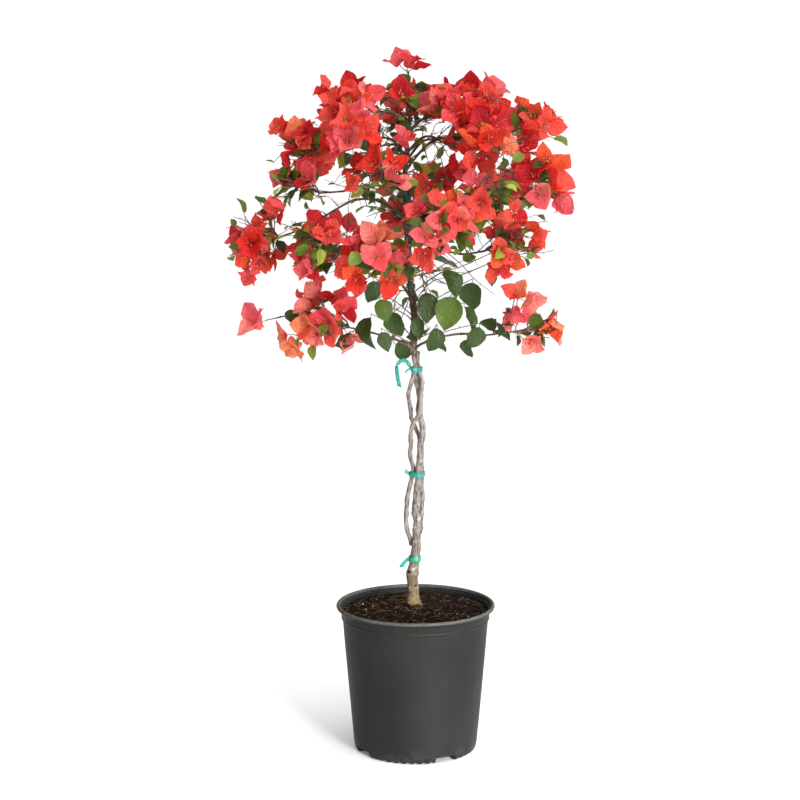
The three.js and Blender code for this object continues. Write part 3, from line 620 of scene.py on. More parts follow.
streaked = height_of(tree, STREAKS, Scale=60.0, Stretch=7.0)
gloss = add_node(tree, "MapRange", {"Value": streaked, "To Min": 0.4, "To Max": 0.6})
tree.links.new(gloss.outputs["Result"], shader.inputs["Roughness"])
grain = roughen(tree, shader, height_of(tree, PATCHES, Scale=420.0, Detail=3.0), 0.22, 0.0006)
roughen(tree, shader, height_of(tree, STREAKS, Scale=90.0, Stretch=9.0), 0.12, 0.001, grain)
make_piece("pot_shell", [(pot_points, pot_faces, pot_places)], plastic, "pot_plastic", ["pot"])

# %% [markdown]
# ## The potting mix
#
# The mix is chopped bark and fibre, heaped a little towards the trunk. One closed body fills the
# pot, and its top is roughened with sums of sines. What makes it read as bark mix is the loose
# pieces on top, so a few thousand chips, fibres and grains of perlite are scattered over it. Each
# chip is a box with shaken corners, and all the chips of one colour are one mesh.

# %% Root ball
SOIL_TOP, SOIL_EDGE, SOIL_RADIUS = 256.0, 241.5, 125.6
SOIL_FLAT = 24


def soil_height(radius):
    """The domed top: level to 24 mm from the middle, then falling evenly to the wall."""
    fall = np.clip((radius - SOIL_FLAT) / (SOIL_RADIUS - SOIL_FLAT), 0, 1)
    return SOIL_TOP - (SOIL_TOP - SOIL_EDGE) * fall


soil_columns = 300
side_rows = [(40, 8.4), (91, 8.4), (97, 9.4), (103.2, 14), (122.4, 227), (123.2, 231)]
side_rows += [(124.6, 235.5)]
top_radius = np.linspace(SOIL_RADIUS, 3, 96)
top_rows = np.stack([top_radius, soil_height(top_radius)], -1)
soil_profile = np.concatenate([side_rows, top_rows])[:, None]
soil_points, soil_faces, soil_places = turned(np.repeat(soil_profile, soil_columns, 1))
rough = (
    lumps(soil_points, 26, 11) * 1.1
    + np.abs(lumps(soil_points, 9, 12)) * 1.5
    + lumps(soil_points, 4.2, 13) * 0.7
)
soil_points[:, 2] += (rough - 1.6) * smoothstep(237.5, 241.5, soil_points[:, 2])

damp_mix = two_tone(
    "potting_mix", paint(4, 3, 2), paint(14, 9, 6), (260.0, 6.0, 0.42, 0.62),
    (PATCHES, {"Scale": 380.0, "Detail": 6.0}, 0.9, 0.003), Roughness=0.95, Specular_IOR_Level=0.1,
)
make_piece(
    "root_ball", [(soil_points, soil_faces, soil_places)], damp_mix, "potting_mix", ["soil"]
)


# %% Chips and perlite
CHIPS_FROM, CHIPS_TO = 15.0, 122.5


def scatter(rng, count):
    """Even places on the soil's ring: the radius is the root of an even share of its area."""
    radius = np.sqrt(rng.uniform(CHIPS_FROM**2, CHIPS_TO**2, count))
    angle = rng.uniform(0, 2 * np.pi, count)
    return np.stack([radius * np.cos(angle), radius * np.sin(angle), soil_height(radius)], -1)


def random_frames(rng, count, tilt):
    """Three square directions each: a random heading, on a plane tilted by up to `tilt`."""
    heading = rng.uniform(0, 2 * np.pi, count)
    ahead = np.stack([np.cos(heading), np.sin(heading), rng.uniform(-tilt, tilt, count)], -1)
    up = np.stack([*rng.uniform(-tilt, tilt, (2, count)), np.ones(count)], -1)
    ahead = unit(ahead)
    aside = unit(np.cross(up, ahead))
    return np.stack([ahead, aside, np.cross(ahead, aside)], 1)


CORNERS = np.array([[x, y, z] for z in (-1, 1) for y in (-1, 1) for x in (-1, 1)], float)
BOX_FACES = np.array(
    [[0, 2, 3, 1], [4, 5, 7, 6], [0, 1, 5, 4], [2, 6, 7, 3], [0, 4, 6, 2], [1, 3, 7, 5]]
)
SHAKE = 0.35


def chips(rng, count, length, width, thickness, tilt=0.35, sink=0.2):
    """Boxes with each corner moved by up to `SHAKE` of its half side, laid on the soil."""
    sizes = np.stack([rng.uniform(*span, count) for span in (length, width, thickness)], -1)
    corners = CORNERS + rng.uniform(-SHAKE, SHAKE, (count, 8, 3))
    corners = corners * sizes[:, None] / 2
    places = scatter(rng, count)
    places[:, 2] += sizes[:, 2] * (0.5 - sink) + rng.uniform(0, 1.4, count)
    points = np.einsum("nkc,ncd->nkd", corners, random_frames(rng, count, tilt)) + places[:, None]
    return repeated(points, BOX_FACES, np.zeros((8, 2)))


def chip_finish(name, dark, light):
    """Chips of one colour, in two shades that change every few millimetres, with a grain."""
    relief = (STREAKS, {"Scale": 900.0, "Stretch": 3.0}, 0.6, 0.001)
    patch = (300.0, 4.0, 0.35, 0.65)
    return two_tone(name, dark, light, patch, relief, Roughness=0.9, Specular_IOR_Level=0.12)


# name: number, spans of length, width and thickness, dark and light shade
chip_kinds = {
    "chips_dark": (2500, (3, 11), (2, 5), (1, 2.6), paint(6, 4, 3), paint(18, 12, 8)),
    "chips_brown": (900, (4, 14), (1.8, 4.5), (1, 2.2), paint(17, 10, 7), paint(38, 22, 14)),
    "chips_rust": (420, (3, 13), (1.4, 4.2), (0.8, 1.8), paint(58, 34, 20), paint(98, 68, 42)),
}
for seed, (name, (count, *spans, dark, light)) in enumerate(chip_kinds.items()):
    rng = np.random.default_rng(50 + seed)
    boxes = chips(rng, count, *spans)
    make_piece(name, [boxes], chip_finish(name, dark, light), "potting_mix", smooth=False)

rng = np.random.default_rng(60)
grains = chips(rng, 34, (1.2, 2.6), (1.2, 2.4), (1, 2.2), tilt=1.0, sink=0.0)
pale = chip_finish("perlite", paint(188, 184, 174), paint(226, 224, 216))
make_piece("perlite", [grains], pale, "potting_mix")

# %% Fibres
# Each fibre is a short bow: a straight line of up to 34 mm, bent aside and lifted in its middle.
rng = np.random.default_rng(61)
fibre_count, fibre_stations = 170, 7
middle = scatter(rng, fibre_count) + (0, 0, 1.6)
frames = random_frames(rng, fibre_count, 0.3)
span = rng.uniform(6, 17, fibre_count)[:, None, None]
along = np.linspace(-1, 1, fibre_stations)[None, :, None]
bend = rng.uniform(-4, 4, fibre_count)[:, None, None]
fibres = middle[:, None] + span * along * frames[:, :1] + bend * along**2 * frames[:, 1:2]
fibres[..., 2] += rng.uniform(0, 4, fibre_count)[:, None] * (1 - along[..., 0] ** 2)
reach = np.linalg.norm(fibres[..., :2], axis=-1, keepdims=True)
fibres[..., :2] *= np.minimum(1, 122 / reach)
thickness = np.sin(np.linspace(0.3, 2.8, fibre_stations)) * 0.5
straw = chip_finish("fibres", paint(68, 48, 30), paint(108, 84, 56))
make_piece("fibres", [tubes(fibres, thickness, 4)], straw, "potting_mix")

# %% [markdown]
# ## The trunk and the two side stems
#
# Three woody stems were twisted round each other while they were green. Each follows a leaning
# line, and stands off it at an angle that turns with height. Between the ties it bulges away,
# and it kinks a little at every node. The kinks come from `chance`, a number that looks random
# but is always the same for the same three counters. The skin is a circle pushed in and out: it
# swells at the nodes, runs in shallow ridges, and has the eyes of a few pruned shoots.


# %% The rule of the stems
def chance(group, item, draw):
    """A repeatable number from 0 to 1: a large sine without its whole part."""
    wave = np.sin(group * 127.1 + item * 311.7 + draw * 74.7 + 0.5) * 43758.5453
    return wave - np.floor(wave)


# Heights are from the ground up. A node is where a leaf once stood; here one every 26 mm.
GAP = 0.35
TRUNK_FOOT, TRUNK_TOP = SOIL_TOP + GAP, 1146.0
TIES = [338, 486, 670, 812, 978]
NODES = np.array([TRUNK_FOOT, TRUNK_FOOT + 9, *range(286, int(TRUNK_TOP) - 10, 26), TRUNK_TOP])
# Tables of height against the middle's x, the twist in degrees, and the trunk's radius.
LEAN = np.array(
    [(256, -3), (338, -3), (420, 3), (486, 5), (670, 1), (812, -6), (978, -20), (1030, -19)]
    + [(1100, -10), (1150, -14)]
)
TWIST = np.array([(256, 0), (480, 0), (540, 20), (605, 120), (670, 190), (1146, 200)])
GIRTH = np.array(
    [(TRUNK_FOOT, 12.5), (TRUNK_FOOT + 9, 10.4), (286, 9.2), (312, 9.8), (338, 8.4), (364, 7.4)]
    + [(442, 6.2), (494, 5.4), (676, 5), (728, 6), (910, 5.2), (1040, 3.8), (TRUNK_TOP, 2.2)]
)
# Each strand's turn in degrees, its distance at the fork, at a tie, and where it bulges below
# and above the second tie, and its seed.
STRANDS = {
    "trunk": (290, 5.4, 5.4, 2, 7.5, 1),
    "stem_right": (170, 4, 5.6, 20, 14.5, 2),
    "stem_left": (50, 4, 5.6, 10, 14.5, 3),
}
STEM_ENDS = {"stem_right": (360, 700), "stem_left": (358, 694)}
FORK = 358
KINK, SMALL_KINK = 3.0, 1.5


def strand_distance(name, height):
    """Distance from the leaning line: straight from fork to tie, plus half a sine between ties."""
    _, at_fork, at_tie, low, high, _ = STRANDS[name]
    below = np.clip((height - FORK) / (TIES[1] - FORK), 0, 1)
    above = np.clip((height - TIES[1]) / (TIES[2] - TIES[1]), 0, 1)
    distance = at_fork + (at_tie - at_fork) * below + (low - at_tie) * np.sin(np.pi * below)
    distance = distance + (high - at_tie) * np.sqrt(np.abs(np.sin(np.pi * above)))
    if name == "trunk":
        alone = 1 - smoothstep(680, 740, height)
        distance = distance * np.minimum(smoothstep(TIES[0], TIES[0] + 60, height), alone)
    return distance


def strand_nodes(name):
    """The strand's centre at every node, with its kinks."""
    phase, *_, seed = STRANDS[name]
    angle = np.radians(phase + np.interp(NODES, *TWIST.T))
    distance = strand_distance(name, NODES)
    count = np.arange(len(NODES))
    kinks = [(chance(seed, count, draw) - 0.5) * 2 * KINK for draw in (1, 2)]
    x = np.interp(NODES, *LEAN.T) + distance * np.cos(angle) + kinks[0]
    return np.stack([x, distance * np.sin(angle) + kinks[1], NODES], -1)


NODE_CENTRES = {name: strand_nodes(name) for name in STRANDS}


def strand_centre(name, height):
    """The strand's centre at any height, straight from node to node."""
    nodes = NODE_CENTRES[name]
    return np.stack([np.interp(height, NODES, nodes[:, axis]) for axis in range(3)], -1)


def strand_girth(name, height):
    """The strand's radius: the trunk's from its table, a side stem's from 3.9 to 3.4 mm."""
    if name == "trunk":
        return np.interp(height, *GIRTH.T)
    return np.interp(height, STEM_ENDS[name], (3.9, 3.4))


print("strands:", {name: np.round(strand_centre(name, 486.0), 1) for name in STRANDS})

# %% Bark relief
# height, turn in degrees, size in mm
PRUNED_EYES = [(316, 232, 4.2), (291, 300, 2.6), (386, 320, 2.6), (398, 190, 2.2)]
PRUNED_EYES += [(452, 200, 2.4), (532, 255, 2.2), (742, 230, 2.2), (868, 330, 2.0)]
# The pits of the first, deepest eyes get a spot of painted shade in the bark finish.
SHADED_EYES = 3  # the first ones are deep enough to look dark


def eye_place(height, degrees):
    """The middle of a pruned eye: the point of the trunk's skin at a height and a turn."""
    way = np.array([math.cos(math.radians(degrees)), math.sin(math.radians(degrees)), 0])
    return strand_centre("trunk", height) + way * strand_girth("trunk", height)


def bark_skin(name, low, high, columns, step):
    """A strand as rings: its girth times 1, plus node swellings, ridges, bumps and pruned eyes.

    A swelling is a bell curve of the height above each node, stronger on one side. A ridge is a
    sine round the stem whose turn drifts with height. An eye is a raised ring round a pit.
    """
    seed = STRANDS[name][-1]
    rows = int((high - low) / step) + 1
    height = np.linspace(low, high, rows)
    spread = np.array([-6.0, -3.0, 0.0, 3.0, 6.0])
    near = np.clip(height[:, None] + spread, max(low, NODES[0]), min(high, NODES[-1]))
    centre = strand_centre(name, near).mean(1)
    free = np.ones(rows)
    for tie in TIES:
        free *= 1 - np.exp(-(((height - tie) / 13) ** 2))
    bends = np.arange(low, high + 15, 15)
    for axis in (0, 1):
        small = chance(seed + 10, np.arange(len(bends)), axis) - 0.5
        centre[:, axis] += np.interp(height, bends, small * 2 * SMALL_KINK) * free
    centre[:, 2] = height
    girth = strand_girth(name, np.maximum(height, NODES[0]))[:, None]
    angle = np.arange(columns) / columns * 2 * np.pi
    round_way = np.stack([np.cos(angle), np.sin(angle), np.zeros(columns)], -1)
    surface = centre[:, None] + girth[..., None] * round_way

    side = chance(seed, np.arange(len(NODES)), 5) * 2 * np.pi
    bell = np.exp(-(((height[:, None] - NODES) / 4.2) ** 2))
    swell = (bell[:, None] * (0.55 + 0.45 * np.cos(angle[:, None] - side))).sum(-1)
    drift = 0.02 * height[:, None] + lumps(surface * (1, 1, 0.2), 22, seed)
    ridge = 1 - np.abs(np.sin(angle * 3.5 + drift)) ** 0.7
    fine = lumps(surface * (1, 1, 0.28), 5.5, seed + 20)
    grain = lumps(surface * (1, 1, 0.22), 2.3, seed + 40, waves=18)
    relief = 0.2 * swell + 0.06 * ridge + 0.06 * fine + 0.03 * grain
    radius = girth * (1 + relief * np.maximum(free, 0.25)[:, None])
    if name == "trunk":
        for eye_height, degrees, size in PRUNED_EYES:
            apart = np.linalg.norm(surface - eye_place(eye_height, degrees), axis=-1) / size
            brim, pit = np.exp(-((apart - 0.95) ** 2) * 6), np.exp(-(apart**2) * 5)
            radius += size * (0.42 * brim - 0.3 * pit)
        flare = smoothstep(TRUNK_FOOT + 16, TRUNK_FOOT, height)[:, None]
        radius += flare * (0.2 + 0.8 * np.cos(angle * 4 + 1.0))
    rings = centre[:, None] + radius[..., None] * round_way
    return closed_rings(rings)


print("bark relief is ready, with", len(PRUNED_EYES), "pruned eyes")

# %% [markdown]
# Bark goes from tan at the soil through grey to brown in the crown, so a colour ramp runs over
# the height. Dark streaks, pale blots of wear, pores and the tan skin near the soil are laid on
# it one after the other, and the deepest eyes get a spot of painted shade in their pits, by
# their distance.

# %% Bark finish
bark, tree, shader = new_material("bark", Roughness=0.86, Specular_IOR_Level=0.15)
bark_shades = [
    (0.0, (114, 96, 68)),
    (0.05, (94, 84, 68)),
    (0.15, (118, 113, 105)),
    (0.3, (124, 117, 113)),
    (0.47, (146, 137, 132)),
    (0.54, (104, 80, 68)),
    (0.7, (100, 82, 72)),
    (1.0, (84, 66, 56)),
]
ramp = add_node(tree, "ValToRGB", {"Fac": height_share(tree, 0.256, 1.15)})
stops = ramp.color_ramp.elements
while len(stops) < len(bark_shades):
    stops.new(0.5)
for stop, (share, shade) in zip(stops, bark_shades):
    stop.position, stop.color = share, paint(*shade)

streak = mask_of(tree, STREAKS, Scale=420.0, Stretch=6.0, From=0.46, To=0.64)
wear_and_shade = blend_colours(tree, streak, ramp.outputs["Color"], paint(66, 56, 50))
blot = mask_of(tree, PATCHES, Scale=110.0, Detail=5.0, From=0.5, To=0.72)
wear_and_shade = blend_colours(tree, maths(tree, "MULTIPLY", blot, blot), wear_and_shade, paint(160, 156, 150))
pore = mask_of(tree, PATCHES, Scale=800.0, Detail=2.0, From=0.64, To=0.72)
wear_and_shade = blend_colours(tree, pore, wear_and_shade, paint(88, 70, 56))
tan = mask_of(tree, PATCHES, Scale=70.0, Detail=4.0, From=0.5, To=0.6)
tan = maths(tree, "MULTIPLY", tan, height_share(tree, 0.345, 0.3))
wear_and_shade = blend_colours(tree, tan, wear_and_shade, paint(104, 84, 52))
# Painted shade: a dark spot in the pit of each of the deepest eyes, by its distance.
for eye_height, degrees, size in PRUNED_EYES[:SHADED_EYES]:
    eye = tuple(eye_place(eye_height, degrees) * MM)
    apart = add_node(tree, "VectorMath", {0: object_place(tree), 1: eye}, operation="DISTANCE")
    spans = {"From Min": size * MM * 1.15, "From Max": size * MM * 0.6}
    pit = add_node(tree, "MapRange", {"Value": apart.outputs["Value"], **spans})
    wear_and_shade = blend_colours(tree, pit.outputs["Result"], wear_and_shade, paint(34, 25, 20))
tree.links.new(wear_and_shade, shader.inputs["Base Color"])
ridged = roughen(tree, shader, height_of(tree, STREAKS, Scale=700.0, Stretch=6.0), 0.7, 0.0012)
roughen(tree, shader, height_of(tree, PATCHES, Scale=1500.0), 0.35, 0.0006, ridged)

trunk_skin = bark_skin("trunk", 253.5, TRUNK_TOP, 44, 1.7)
make_piece("trunk_bark", [trunk_skin], bark, "bark", ["trunk"])
for name, (low, high) in STEM_ENDS.items():
    make_piece(name + "_bark", [bark_skin(name, low, high, 26, 1.6)], bark, "bark", [name])

# %% [markdown]
# ## The masses of the crown, and the boughs that carry them
#
# The crown is a set of loose masses, each an egg-shaped space with one bough to it. A bough leaves
# the trunk steeply and levels out, with a kink at each node. In the mass it goes on as a stem,
# and twigs branch from that stem in directions spread evenly over a sphere. The rule is the same
# as for the solids of the frame, so every twig starts on wood that is really there.

# %% The masses
LOW_LEFT_TIPS = [(-270, -30, 757), (-212, -34, 718)]
LOW_RIGHT_TIPS = [(236, -20, 738), (168, -40, 806)]
# name, middle, reach, flowers, leafy sprays, where its bough starts, ends of its long sprays
MASSES = [
    ("crown_top", (-14, 0, 1156), (46, 46, 46), 6, 3, "trunk tip", [(-15, -4, 1192)]),
    ("top_left", (-104, -20, 1130), (54, 58, 36), 13, 3, 1078, [(-152, -15, 1146)]),
    ("top_right", (88, -20, 1126), (64, 62, 34), 18, 3, 1062, []),
    ("upper_left", (-190, -10, 1046), (54, 66, 42), 14, 3, 992, [(-262, -10, 1030)]),
    ("upper_left_front", (-104, -108, 1072), (58, 54, 42), 12, 3, 1018, []),
    ("upper_right_front", (104, -108, 1064), (66, 58, 44), 11, 3, 1036, []),
    ("upper_right", (186, 5, 1074), (58, 66, 40), 12, 2, 1008, [(244, 0, 1058)]),
    ("right_edge", (204, -15, 994), (44, 66, 62), 10, 3, 852, []),
    ("mid_right", (122, -128, 982), (60, 56, 42), 5, 7, 900, []),
    ("front_centre", (36, -160, 930), (66, 58, 56), 14, 4, 868, []),
    ("front_left_low", (-66, -148, 872), (68, 60, 46), 17, 5, 832, []),
    ("left_mid", (-160, -84, 884), (56, 60, 50), 10, 4, 786, []),
    ("left_edge", (-268, -10, 892), (52, 62, 62), 11, 3, 926, [(-305, -10, 896)]),
    ("left_upper_mid", (-196, -56, 984), (58, 56, 40), 5, 8, 942, []),
    ("centre_upper", (-70, -118, 1008), (54, 50, 38), 6, 6, 1004, []),
    ("right_mid", (152, -60, 894), (72, 60, 40), 10, 6, 824, [(196, -50, 884)]),
    ("low_leaves", (4, -50, 792), (100, 44, 66), 0, 1, "trunk front", []),
    ("low_leaves_back", (-6, 50, 796), (84, 42, 60), 0, 3, "trunk back", []),
    ("low_left", (-150, -30, 760), (60, 58, 54), 16, 4, "stem_left", LOW_LEFT_TIPS),
    ("low_right", (196, -20, 742), (54, 50, 38), 4, 7, "stem_right", LOW_RIGHT_TIPS),
    ("back_top", (-16, 96, 1108), (76, 58, 40), 12, 4, 1050, []),
    ("back_left", (-146, 136, 1046), (72, 62, 52), 10, 5, 1030, []),
    ("back_right", (124, 132, 1052), (78, 64, 52), 11, 5, 1022, []),
    ("back_mid_right", (146, 128, 944), (68, 62, 52), 8, 5, 884, []),
    ("back_centre", (-10, 168, 946), (78, 62, 56), 9, 5, 846, []),
    ("back_low_left", (-152, 122, 862), (72, 62, 52), 9, 5, 830, []),
]
CENTRES = np.array([mass[1] for mass in MASSES], float)
HALVES = np.array([mass[2] for mass in MASSES], float)
CROWN_MIDDLE = np.array([-20.0, 0.0, 880.0])
print(len(MASSES), "masses with", sum(mass[3] for mass in MASSES), "flowers")


# %% Bough paths and stems
def bough_path(index):
    """Points of a bough: a straight line, plus an arch of sine x (1 - t), plus a kink a node."""
    name, middle, half, _, _, origin, _ = MASSES[index]
    centre, half = np.array(middle, float), np.array(half, float)
    from_stem = origin in STEM_ENDS
    strand, height = (origin, STEM_ENDS[origin][1]) if from_stem else ("trunk", origin)
    start = strand_centre(strand, float(height))
    points = [start + (0, 0, -4)] if from_stem else []
    if from_stem:
        start = start + (0, 0, 9)
    inward = unit(start - centre)
    end = centre + inward * (1 / np.linalg.norm(inward / half)) * 0.82
    span = end - start
    level = math.hypot(span[0], span[1])
    steps = max(4, round(float(np.linalg.norm(span)) / 40))
    count = np.arange(1, steps + 1)
    t = (count / steps)[:, None]
    line = start + span * t
    arch = level * (0.05 if from_stem else 0.18)
    line[:, 2:] += arch * np.sin(np.pi * t) * (1 - t) * 2
    kinks = np.stack([(chance(40 + index, count, draw) - 0.5) * 4.5 for draw in (1, 2, 3)], -1)
    line[:-1] += kinks[:-1]
    return np.array([*points, start, *line])


def bough_entry(index):
    """Where a mass's own stem starts, and which way: its bough's end, or a place on the trunk."""
    _, middle, half, _, _, origin, _ = MASSES[index]
    if origin == "trunk tip":
        return strand_centre("trunk", TRUNK_TOP), np.array([0, 0, 1.0])
    if origin in ("trunk front", "trunk back"):
        height = middle[2] + half[2] * 0.45
        ahead = np.array([0, math.copysign(1, middle[1]), 0])
        return strand_centre("trunk", height) + ahead * strand_girth("trunk", height), ahead
    path = bough_path(index)
    return path[-1], unit(path[-1] - path[-2])


def mass_stem(index):
    """A mass's stem: on from its entry, through its middle, to a third of the way beyond."""
    entry, ahead = bough_entry(index)
    centre, half = CENTRES[index], HALVES[index]
    start = entry + ahead * GAP
    through = unit(centre - start)
    end = centre + through * (1 / np.linalg.norm(through / half)) * 0.35
    knee = start + ahead * 6
    return np.array([start, knee, centre + (knee - centre) * 0.3, end])


STEMS = [mass_stem(index) for index in range(len(MASSES))]
print(len(STEMS), "stems")

# %% [markdown]
# A bough's radius falls with a power of the way along it. It swells at each of its kinks, as
# every node of a real one does, and its skin is pushed in and out by small lumps.

# %% Boughs
BOUGH_SIDES = 12
bough_shapes, bough_nodes = [], []
for index, (name, *_, origin, _) in enumerate(MASSES):
    whole = STEMS[index]
    if not str(origin).startswith("trunk "):
        whole = np.concatenate([bough_path(index), STEMS[index][1:]])
        bough_nodes.append("bough_" + name)
    stations = max(24, int(np.linalg.norm(np.diff(whole, axis=0), axis=1).sum() / 5))
    path = smooth_path(whole, stations)
    along = np.linspace(0, 1, stations)
    radius = 2.6 - 1.6 * along**0.6
    knots = np.arange(len(whole)) / (len(whole) - 1)
    swell = np.exp(-(((along[:, None] - knots) * stations / 1.6) ** 2)).sum(1)
    uneven = lumps(path, 14, 70 + index)
    radius = radius * (1 + 0.16 * swell + 0.06 * uneven)
    shape = tubes(path[None], radius, BOUGH_SIDES)
    skin = lumps(shape[0], 4.5, 90 + index)[:, None]
    core = np.repeat(path, BOUGH_SIDES, 0)
    away = unit(shape[0][: len(core)] - core)
    shape[0][: len(core)] += away * skin[: len(core)] * 0.16
    bough_shapes.append(shape)

wood, tree, shader = new_material("bough_wood", Roughness=0.85, Specular_IOR_Level=0.3)
tone = mask_of(tree, PATCHES, Scale=26.0, Detail=3.0, From=0.4, To=0.62)
base = blend_colours(tree, tone, paint(84, 64, 54), paint(128, 106, 92))
streak = mask_of(tree, STREAKS, Scale=600.0, Stretch=3.0, From=0.46, To=0.66)
base = blend_colours(tree, streak, base, paint(56, 40, 34))
tree.links.new(base, shader.inputs["Base Color"])
roughen(tree, shader, height_of(tree, PATCHES, Scale=900.0), 0.6, 0.0008)
make_piece("boughs", bough_shapes, wood, "bark", bough_nodes)

# %% [markdown]
# ## Where twigs, flowers and leaves go
#
# A spray is one twig with what it carries. Its tip stands in one of 37 even directions from the
# middle of its mass, drawn a little towards the outside of the crown, which is where real twigs
# find light. A flowering twig ends in a bunch of one to three flowers on short stalks. A leafy
# one stops short, inside the mass. No flower may stand too near another, or outside the space of
# its own mass, so the gaps between the masses stay open and the sky shows through.
#
# An even rule alone gives a crown that is too even. Real ones have thin places and places where
# shoots crowd to the light, so both are listed further on: windows in which most flowers are
# left out, extra flowering shoots, and the big leaves that hang by the trunk.


# %% The rule of the sprays
SPRAY_CEILING = 1140.0  # only the long sprays stand higher
DIRECTIONS = 37


def even_direction(k, count):
    """Direction k of `count` even ones on a sphere: even steps of height, golden-angle turns."""
    z = 1 - 2 * (k + 0.5) / count
    angle = k * math.pi * (3 - math.sqrt(5))
    level = math.sqrt(1 - z * z)
    return np.array([level * math.cos(angle), level * math.sin(angle), z])


def outward_at(point):
    """The way out of the crown at a point."""
    return unit(np.asarray(point) - CROWN_MIDDLE)


def spray_tip(index, k, reach=None):
    """The end of spray k: one of the long tips first, then an even direction times the reach."""
    tips = MASSES[index][-1]
    if k < len(tips) and reach is None:
        return np.array(tips[k], float)
    way = even_direction((k * 14) % DIRECTIONS, DIRECTIONS) + 0.3 * outward_at(CENTRES[index])
    share = 0.7 + 0.2 * chance(index, k, 1) if reach is None else reach
    tip = CENTRES[index] + unit(way) * HALVES[index] * share
    return np.minimum(tip, (np.inf, np.inf, SPRAY_CEILING))


def spray_root(index, tip):
    """The point of the mass's stem that a twig leaves: further along for a tip further along."""
    stem = STEMS[index]
    whole = stem[-1] - stem[0]
    share = float(np.clip((tip - stem[0]) @ whole / (whole @ whole) * 0.62, 0.34, 0.97))
    path = smooth_path(stem, 31)
    return path[round(share * 30)]


def spray_facing(index, tip, k):
    """The way a bunch faces: out from its mass, out from the crown, and a little up."""
    facing = 0.8 * unit(tip - CENTRES[index]) + 0.6 * outward_at(tip)
    facing[0] += (chance(index, k, 2) - 0.5) * 1.5
    facing[1] += (chance(index, k, 3) - 0.5) * 1.5
    facing[2] += chance(index, k, 4) * 0.7
    return unit(facing)


# A power distance is a squared distance less the square of the mass's own reach.
REACHES = np.linalg.norm(HALVES, axis=1) / math.sqrt(3)


def room_in(index, point):
    """How far a point is inside a mass's own space: half the gap between its power distances."""
    power = ((point - CENTRES) ** 2).sum(1) - REACHES**2
    apart = np.maximum(np.linalg.norm(CENTRES - CENTRES[index], axis=1), 1e-6)
    room = (power - power[index]) / (2 * apart)
    room[index] = np.inf
    return room.min()


print("a mass's first tip:", np.round(spray_tip(9, 0), 1))

# %% [markdown]
# The bracts of one plant aren't all one colour. They open deep red in the sun at the top, and the
# old and shaded ones below fade to pink and salmon. Each bunch is dealt one of eight tints by its
# height, and some of its bracts later take a tint near to that one.

# %% Tints
BLOOM_TINTS = {
    "coral": (236, 86, 74),
    "rose": (240, 86, 88),
    "scarlet": (224, 58, 44),
    "carmine": (206, 42, 48),
    "flame": (238, 92, 56),
    "pink": (242, 104, 110),
    "salmon": (244, 134, 122),
    "apricot": (242, 138, 100),
}
# The height at which a zone starts, and how often each of the eight tints is drawn in it.
TINT_SHARES = {
    -math.inf: (0, 0, 0, 0, 0, 2, 5, 1),
    735: (3, 4, 0, 0, 1, 6, 4, 1),
    840: (5, 6, 1, 1, 2, 6, 1, 0),
    1000: (5, 5, 3, 2, 2, 3, 0, 0),
    1100: (5, 6, 2, 1, 0, 5, 0, 0),
}
NEAR_TINTS = {
    "coral": ("rose", "flame", "scarlet"),
    "rose": ("coral", "pink", "carmine"),
    "scarlet": ("carmine", "coral", "flame"),
    "carmine": ("scarlet", "rose", "scarlet"),
    "flame": ("coral", "scarlet", "apricot"),
    "pink": ("rose", "salmon", "coral"),
    "salmon": ("pink", "apricot", "pink"),
    "apricot": ("salmon", "flame", "salmon"),
}


def tint_for(height, rng):
    """A bunch's tint, drawn from its zone's shares: redder above, more salmon below."""
    zone = max(start for start in TINT_SHARES if height >= start)
    shares = np.array(TINT_SHARES[zone], float)
    return list(BLOOM_TINTS)[rng.choice(len(shares), p=shares / shares.sum())]


print(len(BLOOM_TINTS), "tints in", len(TINT_SHARES), "zones")

# %% Windows in the crown
# The middle of a window across and up, its reach, and the share of its flowers that is kept.
THIN_PLACES = [
    ((-66, 1012), 50, 0.35),
    ((132, 1009), 46, 0.5),
    ((33, 1087), 44, 0.5),
    ((-250, 1010), 52, 0.3),
    ((-285, 935), 34, 0.3),
    ((236, 1040), 40, 0.4),
    ((-48, 846), 34, 0.25),
    ((128, 880), 40, 0.6),
    ((215, 955), 40, 0.6),
]
WINDOW_BACK = 90  # windows thin the flowers in front of this depth alone
CROWN_LOW, CROWN_HIGH = (-330, -232, 640), (266, 244, SPRAY_CEILING + 12)


def kept_open(rng, middle):
    """True where a flower would shut one of the crown's windows: by chance, in its front half."""
    share = 1.0
    for (x, z), reach, kept in THIN_PLACES:
        if middle[1] < WINDOW_BACK and math.hypot(middle[0] - x, middle[2] - z) < reach:
            share *= kept
    return rng.uniform() > share


def out_of_crown(point):
    """True where a twig or leaf tip would stand out of the crown as a whole."""
    return bool(np.any((point < CROWN_LOW) | (point > CROWN_HIGH)))


print(len(THIN_PLACES), "windows")

# %% [markdown]
# A twig is a bent line from the wood to its end. Leaves stand along it one after another, each
# turned by the golden angle from the last, which is how a real shoot keeps them out of each
# other's shade. Side twigs fork off it, and some of them have leaves of their own. All this is
# gathered as numbers first and becomes meshes later, all at once, because an object for every
# leaf would be slow to make and slow to draw.

# %% Twigs and leaves
TWIG_STATIONS = 9
LEAF_CEILING = 1160.0  # only flowers stand higher
CLEAR_OF_TRUNK, NEAR_TRUNK = 14.0, 70.0
GOLDEN_TURN = 2.4  # leaves stand this far round the twig from one to the next, in radians
# A flower is its root, axis, length, opening in degrees, tint and middle. A leaf is its root, way
# ahead, face, length and kind. A twig or a stalk is its path and its radii.
flowers, leaves, twigs, stalks = [], [], [], []


